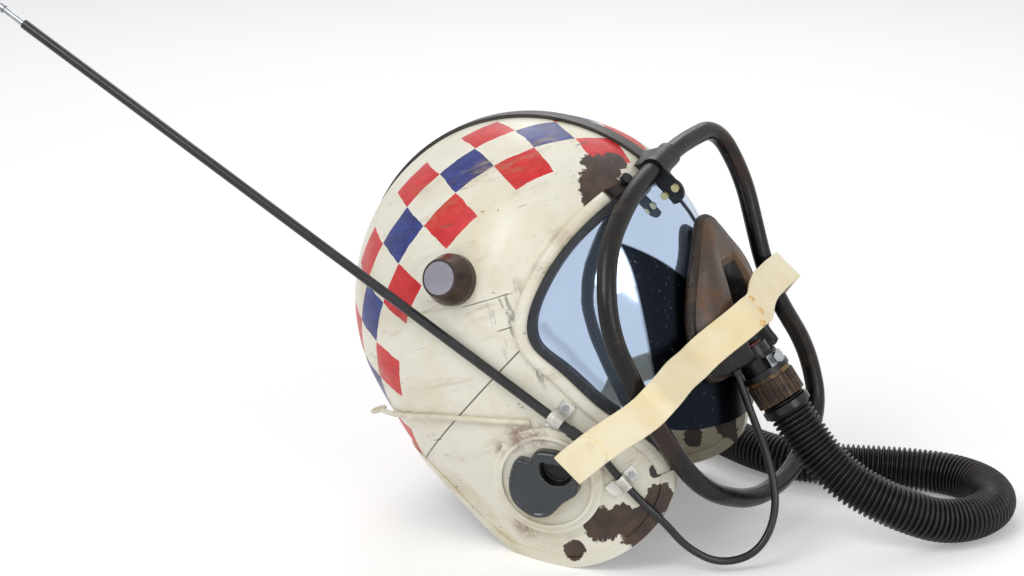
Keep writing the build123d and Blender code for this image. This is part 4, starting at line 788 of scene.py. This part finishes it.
# Steps from the receiver's foot over its rounded edge to its middle: share of the outline, height
RECEIVER_STEPS = [(1.0, 0.0), (1.0, 0.35), (1.0, 0.72), (0.985, 0.86), (0.96, 0.95), (0.92, 1.0), (0.885, 0.98),
                  (0.86, 0.92), (0.84, 0.89), (0.7, 0.90), (0.5, 0.91), (0.3, 0.92), (0.15, 0.92), (0.02, 0.92)]
# The pocket that the strap enters: its middle and radius, how deep it is, how wide its wall leans,
# and the line that cuts it off square: its direction and its distance from the middle
POCKET_AT, POCKET_R, POCKET_DEPTH, POCKET_WALL = (12.5, 8.0), 11.5, 7.0, 1.2
POCKET_CUT, POCKET_CUT_AT = (0.45, 0.89), 3.0


def ear_space(flat, rise, side):
    """Points forward and up in the ear boss's plane, raised along its normal, in the head frame."""
    origin = on_skin(*EAR_AT, side)
    out = skin_out(origin)
    up = unit(np.array([0, 0, 1.0]) - out * out[2])
    ahead = np.cross(up, out)
    ahead = ahead * np.sign(ahead[0])
    return origin + flat[..., :1] * ahead + flat[..., 1:2] * up + rise[..., None] * out


def heart_edge(count=180):
    """The receiver's closed outline: a spline through HEART with three points repeated at each end."""
    edge = smooth_line(np.array(HEART[-3:] + HEART + HEART[:3]), 420)
    off = np.linalg.norm(edge - HEART[0], axis=1)
    return even_line(edge[np.argmin(off[:120]):201 + np.argmin(off[200:])], count + 1)[:-1]


class HELMET_OT_receivers(bpy.types.Operator):
    """Heart-shaped slate mouldings on the ear bosses, each with the pocket that the strap enters, its shade painted
    near black
    """
    bl_idname = "helmet.receivers"
    bl_label = "Strap receivers"

    def execute(self, context):
        edge = heart_edge()
        steps = np.array(RECEIVER_STEPS)
        parts = np.where(steps[:-1, 0] <= 0.84, 6, 2)
        at = np.concatenate([k + np.arange(n) / n for k, n in enumerate(parts)] + [[len(parts)]])
        steps = np.stack([np.interp(at, np.arange(len(steps)), steps[:, k]) for k in (0, 1)], -1)
        flat = edge[None, :, :] * steps[:, :1, None]
        rise = RECEIVER_LOW + (RECEIVER_TOP - RECEIVER_LOW) * steps[:, 1:2] * np.ones(len(edge))
        off = flat - np.array(POCKET_AT)
        pocket = np.clip((POCKET_R - np.linalg.norm(off, axis=-1)) / POCKET_WALL, 0, 1) \
            * np.clip((POCKET_CUT_AT - off @ np.array(POCKET_CUT)) / POCKET_WALL, 0, 1)
        rise = rise - POCKET_DEPTH * pocket * (steps[:, 1:2] > 0.5)
        for side, hand in ((-1, "right"), (1, "left")):
            piece = grid_piece(f"receiver_heart_{hand}", to_row(ear_space(flat, rise, side)), "glossy slate moulding")
            # Painted shade: the pocket's deep cells take the near-black painted-shade finish
            piece.data.materials.append(finish_named("painted shade rubber"))
            dark = np.concatenate([(pocket[:-1] > 0.3).ravel(), [False, False]])
            piece.data.polygons.foreach_set("material_index", dark.astype(np.int32))
            stand_in(face_outward(piece), f"receiver_{hand}")
        return {"FINISHED"}


# ---- mask
# Level sections of the mask in the head frame, millimetres: height, then x and y of the near edge, the
# near ridge, the far ridge and the far edge
MASK_ROWS = [(18.5, 131.5, -3.0, 134.5, -1.6, 135.0, 1.6, 132.5, 3.0), (14, 131, -10, 136.5, -4.0, 137.5, 4.5, 133, 11),
             (5, 129.5, -19, 138, -7.5, 139, 8.5, 131, 21), (-10, 126, -33, 137.5, -10, 140, 12, 129, 35),
             (-28, 120.5, -42, 138, -13, 142, 18.5, 126, 46), (-45, 117, -47.5, 138, -16, 142.5, 18.5, 121.5, 45),
             (-60, 116.5, -47, 139, -17.5, 142.5, 17, 119, 41), (-76, 116, -43, 141, -19, 146, 19.5, 119, 40)]
# Depth of the hollow, height of the bulges and radius of the rolled rim, millimetres
MASK_FOLD, MASK_BULGE, MASK_RIM_R = 13.0, 5.0, 4.0
# Where the ridges come, as shares of the way across; how many points that way has; the middle of the
# closed underside
RIDGE_AT, MASK_COLS = 0.38, 161
MASK_UNDER = np.array([124.0, 0.0, -76.0])
# Where shade is painted on the mask, almost black: the hollow's columns and top, and the height below which all of it
# is
HOLLOW_COLS, HOLLOW_TOP, DARK_BELOW = (68, 98), -13, -57
# The rim's way across below the mask
RIM_UNDER = np.array([(118.5, -33, -79), (123, -12, -80), (123, 12, -80), (119, 34, -79)])


def mask_section(rows, count):
    """Points of the mask's face: from the near edge out to the near ridge, over the hollow, and back.

    Between an edge and its ridge the face is the straight line plus a half sine bulge, less where the
    two are under 26 mm apart, and faded out from z -40 to -56 on the far side, where the exhale valve
    sits; between the ridges it sinks by MASK_FOLD times a flat-floored hump, which grows from z -8 down.
    """
    corners = rows[:, 1:].reshape(-1, 4, 2)
    share = np.linspace(0, 1, count)
    knots = (0, RIDGE_AT, 1 - RIDGE_AT, 1)
    flat = np.stack([np.stack([np.interp(share, knots, row[:, k]) for k in (0, 1)], -1) for row in corners])
    run = unit(np.gradient(flat, axis=1))
    out = np.stack([-run[..., 1], run[..., 0]], -1)
    out *= np.where(out[..., :1] < 0, -1, 1)
    side = np.clip(np.minimum(share, 1 - share) / RIDGE_AT, 0, 1)
    between = (share > RIDGE_AT) & (share < 1 - RIDGE_AT)
    bulge = MASK_BULGE * np.sin(np.pi * side) * ~between
    near = np.clip(np.linalg.norm(corners[:, 1] - corners[:, 0], axis=1) / 26, 0, 1)
    far = near * np.clip((rows[:, 0] + 56) / 16, 0, 1)
    flat = flat + out * (bulge * np.where(share < 0.5, near[:, None], far[:, None]))[..., None]
    hollow = np.clip((share - RIDGE_AT) / (1 - 2 * RIDGE_AT), 0, 1)
    hump = 1 - np.abs(2 * hollow - 1) ** 3.5
    depth = MASK_FOLD * np.clip((-8 - rows[:, 0]) / 26, 0, 1) ** 0.8
    flat[..., 0] -= depth[:, None] * hump
    return np.concatenate([flat, np.broadcast_to(rows[:, :1, None], (*flat.shape[:2], 1))], -1)


def mask_rim_line(rows):
    """The rim's closed line: up the near edge, across below and back, smoothed by a Hann window."""
    near, far = rows[:, [1, 2, 0]], rows[:, [7, 8, 0]]
    loop = np.concatenate([near[::3][:-1], near[-1:], RIM_UNDER, far[-1:], far[::3][:-1][::-1]])
    loop[:, 0] += 1.0
    line = even_line(np.concatenate([loop, loop[:1]]), 361)[:-1]
    kernel = np.hanning(11) / np.hanning(11).sum()
    return np.stack([np.convolve(np.pad(line[:, k], 5, mode="wrap"), kernel, mode="valid") for k in range(3)], -1)


class HELMET_OT_mask(bpy.types.Operator):
    """Oxygen mask with its pointed nose, hollow front and rolled rubber rim"""
    bl_idname = "helmet.mask"
    bl_label = "Oxygen mask"

    def execute(self, context):
        rows = smooth_line(np.array(MASK_ROWS), 90)
        face = mask_section(rows, MASK_COLS)
        under = [face[-1] + (MASK_UNDER - face[-1]) * share - np.array([0, 0, 2 * min(1, 8 * share)])
                 for share in (0.03, 0.08, 0.3, 0.6, 0.9, 0.999)]
        face = np.concatenate([face, np.array(under)])
        shell = grid_piece("mask_body", to_row(face), "moulded mask polymer", closed_v=False, caps=False)
        # Painted shade: the hollow's cells and all cells below DARK_BELOW take the near-black painted-shade finish
        shell.data.materials.append(finish_named("painted shade rubber"))
        height, column = face[:-1, :-1, 2], np.arange(MASK_COLS - 1)
        hollow = (column > HOLLOW_COLS[0]) & (column < HOLLOW_COLS[1]) & (height < HOLLOW_TOP)
        dark = hollow | (height < DARK_BELOW)
        shell.data.polygons.foreach_set("material_index", dark.ravel().astype(np.int32))
        wall = shell.modifiers.new("wall", "SOLIDIFY")
        wall.thickness, wall.offset = 2.0 * MM, -1.0
        stand_in(shell, "mask_shell")
        line = mask_rim_line(rows)
        profile = ring_profile(MASK_RIM_R * 0.92, MASK_RIM_R, 20, 2.3)
        tube = sweep(line, profile, np.array([1.0, 0, 0.1]) * np.ones_like(line), closed=True)
        rim = face_outward(grid_piece("mask_rim", to_row(tube), "worn mask rubber", closed_u=True, caps=False))
        stand_in(rim, "mask_facepiece")
        return {"FINISHED"}


# ---- padded pieces
# Piece name, its CAD node, its finish, how far it may swell in millimetres, and how full it is
PADS = [("crown_cushion", "crown_pad", "brown pad leather", 3.0, 0.6),
        ("brow_cushion", "brow_pad", "brown pad leather", 2.5, 0.6),
        ("nape_cushion", "nape_pad", "brown pad leather", 3.0, 0.6),
        ("ear_cushion_right", "ear_cup_right", "brown pad leather", 3.0, 0.8),
        ("ear_cushion_left", "ear_cup_left", "brown pad leather", 3.0, 0.8),
        ("foam_lining", "foam_liner", "grey liner foam", 1.2, 1.0)]


# The filling: voxels of the remesh, metres; how much of its swelling a pad is first shrunk by; the
# cloth's pressure and its frames
VOXEL, SHRINK, PRESSURE, FRAMES = 0.0045, 0.6, 4.0, 20


def swollen(piece, cap):
    """Blows the piece up as cloth, each point moving no further than cap metres."""
    scene = bpy.context.scene
    count = len(piece.data.vertices)
    before, after = np.zeros(count * 3), np.zeros(count * 3)
    piece.data.vertices.foreach_get("co", before)
    cloth = piece.modifiers.new("fill", "CLOTH")
    cloth.settings.use_pressure = True
    cloth.settings.uniform_pressure_force = PRESSURE
    cloth.settings.effector_weights.gravity = 0.0
    for number in range(FRAMES):
        scene.frame_set(number + 1)
    blown = piece.evaluated_get(bpy.context.evaluated_depsgraph_get()).to_mesh()
    blown.vertices.foreach_get("co", after)
    piece.modifiers.remove(cloth)
    scene.frame_set(1)
    move = (after - before).reshape(-1, 3)
    length = np.linalg.norm(move, axis=1, keepdims=True)
    move *= np.minimum(1, cap / np.maximum(length, 1e-9))
    piece.data.vertices.foreach_set("co", before + move.ravel())
    piece.data.update()


class HELMET_OT_pads(bpy.types.Operator):
    """Crown, brow and nape cushions, ear cushions and the foam lining, filled as cloth"""
    bl_idname = "helmet.pads"
    bl_label = "Cushions"

    def execute(self, context):
        for name, node, finish, cap, fill in PADS:
            mesh = NODES[node].data.copy()
            mesh.materials.clear()
            piece = face_outward(new_piece(name, mesh, finish))
            block = piece.modifiers.new("block", "REMESH")
            block.mode, block.voxel_size = "VOXEL", VOXEL
            context.view_layer.update()
            made = bpy.data.meshes.new_from_object(piece.evaluated_get(context.evaluated_depsgraph_get()))
            piece.modifiers.remove(block)
            piece.data = made
            made.polygons.foreach_set("use_smooth", np.ones(len(made.polygons), bool))
            count = len(made.vertices)
            points, out = np.zeros(count * 3), np.zeros(count * 3)
            made.vertices.foreach_get("co", points)
            made.vertices.foreach_get("normal", out)
            made.vertices.foreach_set("co", points - out * cap * MM * SHRINK)
            made.update()
            swollen(piece, cap * MM)
            smooth = piece.modifiers.new("smooth", "SUBSURF")
            smooth.levels = smooth.render_levels = 1
            stand_in(piece, node)
        return {"FINISHED"}


# ---- rim beads
# The bead's middle inside the opening's edge, the half width of the shell and the height where it
# ends, and its half width, height and how deep it sits in the shell, millimetres
RIM_INSET, RIM_SIDE, RIM_FOOT, RIM_WIDE, RIM_HIGH, RIM_SUNK = 4.5, 53.5, -120.5, 4.4, 4.3, 0.2
RIM_COUNT = 220


class HELMET_OT_rims(bpy.types.Operator):
    """Rolled cream beads beside the face opening, one on each side"""
    bl_idname = "helmet.rims"
    bl_label = "Face rims"

    def execute(self, context):
        edge = smooth_line(np.array(FACE) * (HALF_L, HALF_H), 400)
        inward = beside(edge)[1]
        inward *= np.where(inward[:, :1] < 0, 1, -1)
        middle = edge + inward * RIM_INSET
        keep = (skin_side(middle[:, 0], middle[:, 1]) > RIM_SIDE) & (middle[:, 1] > RIM_FOOT)
        x, z = even_line(middle[keep], RIM_COUNT).T
        a = np.linspace(0, 2 * np.pi, 24, endpoint=False)
        wide = RIM_WIDE * np.cos(a)[:, None]
        high = np.where(np.sin(a) > 0, np.abs(np.sin(a)) ** 0.8 * RIM_HIGH, -RIM_SUNK)
        to_end = np.minimum(np.arange(RIM_COUNT), np.arange(RIM_COUNT)[::-1])
        ends = np.clip(to_end / 5.0, 0.15, 1)[:, None] ** 0.5
        for side, hand in ((-1, "right"), (1, "left")):
            line = on_skin(x, z, side)
            out = skin_out(line)
            across = unit(np.cross(out, unit(np.gradient(line, axis=0))))
            grid = line[:, None] + across[:, None] * wide + out[:, None] * (high * ends)[..., None]
            bead = face_outward(grid_piece(f"rim_bead_{hand}", to_row(grid), "cream lacquer fitting"))
            stand_in(bead, f"face_rim_{hand}")
        return {"FINISHED"}


# ---- finishes of the frame's nodes
class HELMET_OT_finishes(bpy.types.Operator):
    """Gives every shown node of the frame the finish of the real piece"""
    bl_idname = "helmet.finishes"
    bl_label = "Finishes"

    def execute(self, context):
        for finish, (nodes, *_) in FINISHES.items():
            for node in nodes.split():
                slots = NODES[node].data.materials
                slots.clear()
                slots.append(finish_named(finish))
        return {"FINISHED"}


# ---- stage
BOX_AIM = Vector((0.05, 0, 0))
# Soft boxes: name, place, side in metres and power in watts
SOFT_BOXES = (("key", (-0.6, -1.6, 1.7), 1.2, 22.0), ("fill", (1.8, -1.0, 0.9), 1.0, 10.0),
              ("back", (-0.5, 1.5, 1.6), 1.2, 12.0))
# The photograph's lens and the place of its middle, in pixels of its width
IMAGE_WIDE, LENS, SHIFT = 1024, 2465, (-28, 10)
FLOOR_Z, FLOOR_HALF = -0.1502, 4.0


def soft_box(name, place, size, power):
    """A square lamp aimed at the helmet."""
    data = bpy.data.lights.new(name, "AREA")
    data.shape, data.size, data.energy = "SQUARE", size, power
    lamp = bpy.data.objects.new(name, data)
    bpy.context.scene.collection.objects.link(lamp)
    lamp.location = place
    lamp.rotation_euler = (BOX_AIM - Vector(place)).to_track_quat("-Z", "Y").to_euler()


def shown_rays(tree):
    """One on the camera's own rays and on those that gloss and glass send on, nothing on the rest."""
    seen = add(tree, PATH, out="Is Camera Ray")
    for ray in ("Is Glossy Ray", "Is Transmission Ray"):
        seen = add(tree, MATH, {0: seen, 1: add(tree, PATH, out=ray)}, operation="MAXIMUM")
    return seen


def pale_floor(name):
    """Matte pale paper that reads as white to the camera and to reflections, and takes shadows."""
    material = bpy.data.materials.new(name)
    material.use_nodes = True
    tree = material.node_tree
    shader = tree.nodes["Principled BSDF"]
    for socket, tint in (("Base Color", "#F4F4F4"), ("Emission Color", "#FFFFFF")):
        shader.inputs[socket].default_value = colour(tint)
    shader.inputs["Roughness"].default_value = 0.9
    glow = add(tree, MATH, {0: shown_rays(tree), 1: 0.22}, operation="MULTIPLY")
    tree.links.new(glow, shader.inputs["Emission Strength"])
    return material


class HelmetView(bpy.types.PropertyGroup):
    azimuth: bpy.props.FloatProperty(name="Azimuth", description="Camera's turn from the right side", default=22.0)
    elevation: bpy.props.FloatProperty(name="Elevation", description="Camera's height angle", default=17.0)
    distance: bpy.props.FloatProperty(name="Distance", description="Camera to the dome's middle", default=1.7,
                                      unit="LENGTH")


class HELMET_OT_stage(bpy.types.Operator):
    """Pale floor, white surroundings, soft boxes and the camera at the photograph's angle"""
    bl_idname = "helmet.stage"
    bl_label = "Stage"

    def execute(self, context):
        view = context.scene.helmet_view
        turn, rise = math.radians(view.azimuth), math.radians(view.elevation)
        back = Vector((math.sin(turn) * math.cos(rise), -math.cos(turn) * math.cos(rise), math.sin(rise)))
        data = bpy.data.cameras.new("camera")
        data.sensor_width, data.lens = 36.0, LENS / IMAGE_WIDE * 36.0
        data.shift_x, data.shift_y = (pixels / IMAGE_WIDE for pixels in SHIFT)
        data.clip_end = 20.0
        camera = bpy.data.objects.new("camera", data)
        context.scene.collection.objects.link(camera)
        camera.location = back * view.distance
        camera.rotation_euler = (-back).to_track_quat("-Z", "Y").to_euler()
        context.scene.camera = camera
        x, y = np.meshgrid(*[np.linspace(-FLOOR_HALF, FLOOR_HALF, 5)] * 2, indexing="ij")
        mesh = bpy.data.meshes.new("floor")
        cells = np.arange(20).reshape(4, 5)[:, :4].ravel()
        mesh.from_pydata(np.stack([x, y, np.full_like(x, FLOOR_Z)], -1).reshape(-1, 3).tolist(), [],
                         (cells[:, None] + (0, 5, 6, 1)).tolist())
        floor = bpy.data.objects.new("floor", mesh)
        context.scene.collection.objects.link(floor)
        mesh.materials.append(pale_floor("pale floor"))
        world = bpy.data.worlds.new("studio")
        context.scene.world = world
        world.use_nodes = True
        tree = world.node_tree
        tree.nodes.clear()
        strength = add(tree, MATH, {0: shown_rays(tree), 1: 0.55, 2: 0.45}, operation="MULTIPLY_ADD")
        shade = add(tree, "Background", {"Color": "#FFFFFF", "Strength": strength})
        add(tree, "OutputWorld", {"Surface": shade})
        for box in SOFT_BOXES:
            soft_box(*box)
        context.scene.view_settings.view_transform = "Standard"
        return {"FINISHED"}


class HELMET_PT_panel(bpy.types.Panel):
    """Lists the helmet's colours and sizes, and the steps that dress it"""
    bl_idname = "HELMET_PT_panel"
    bl_label = "Pilot flight helmet"
    bl_space_type = "VIEW_3D"
    bl_region_type = "UI"
    bl_category = "Helmet"

    def draw(self, context):
        column = self.layout.column()
        for group in GROUPS:
            values = getattr(context.scene, group)
            for name in values.bl_rna.properties.keys():
                if name not in ("rna_type", "name"):
                    column.prop(values, name)
        for operator in OPERATORS:
            column.operator(operator.bl_idname)


GROUPS = {"helmet_paints": HelmetPaints, "helmet_cords": HelmetCords, "helmet_view": HelmetView}
OPERATORS = (HELMET_OT_stage, HELMET_OT_hose, HELMET_OT_cable, HELMET_OT_strap, HELMET_OT_receivers,
             HELMET_OT_mask, HELMET_OT_rims, HELMET_OT_pads, HELMET_OT_finishes)


def register():
    for item in (*GROUPS.values(), *OPERATORS, HELMET_PT_panel):
        bpy.utils.register_class(item)
    for group, item in GROUPS.items():
        setattr(bpy.types.Scene, group, bpy.props.PointerProperty(type=item))


def unregister():
    for group in GROUPS:
        delattr(bpy.types.Scene, group)
    for item in reversed((*GROUPS.values(), *OPERATORS, HELMET_PT_panel)):
        bpy.utils.unregister_class(item)


def main():
    """Runs every step in order."""
    register()
    for operator in OPERATORS:
        group, name = operator.bl_idname.split(".")
        getattr(getattr(bpy.ops, group), name)()


if __name__ == "__main__":
    main()
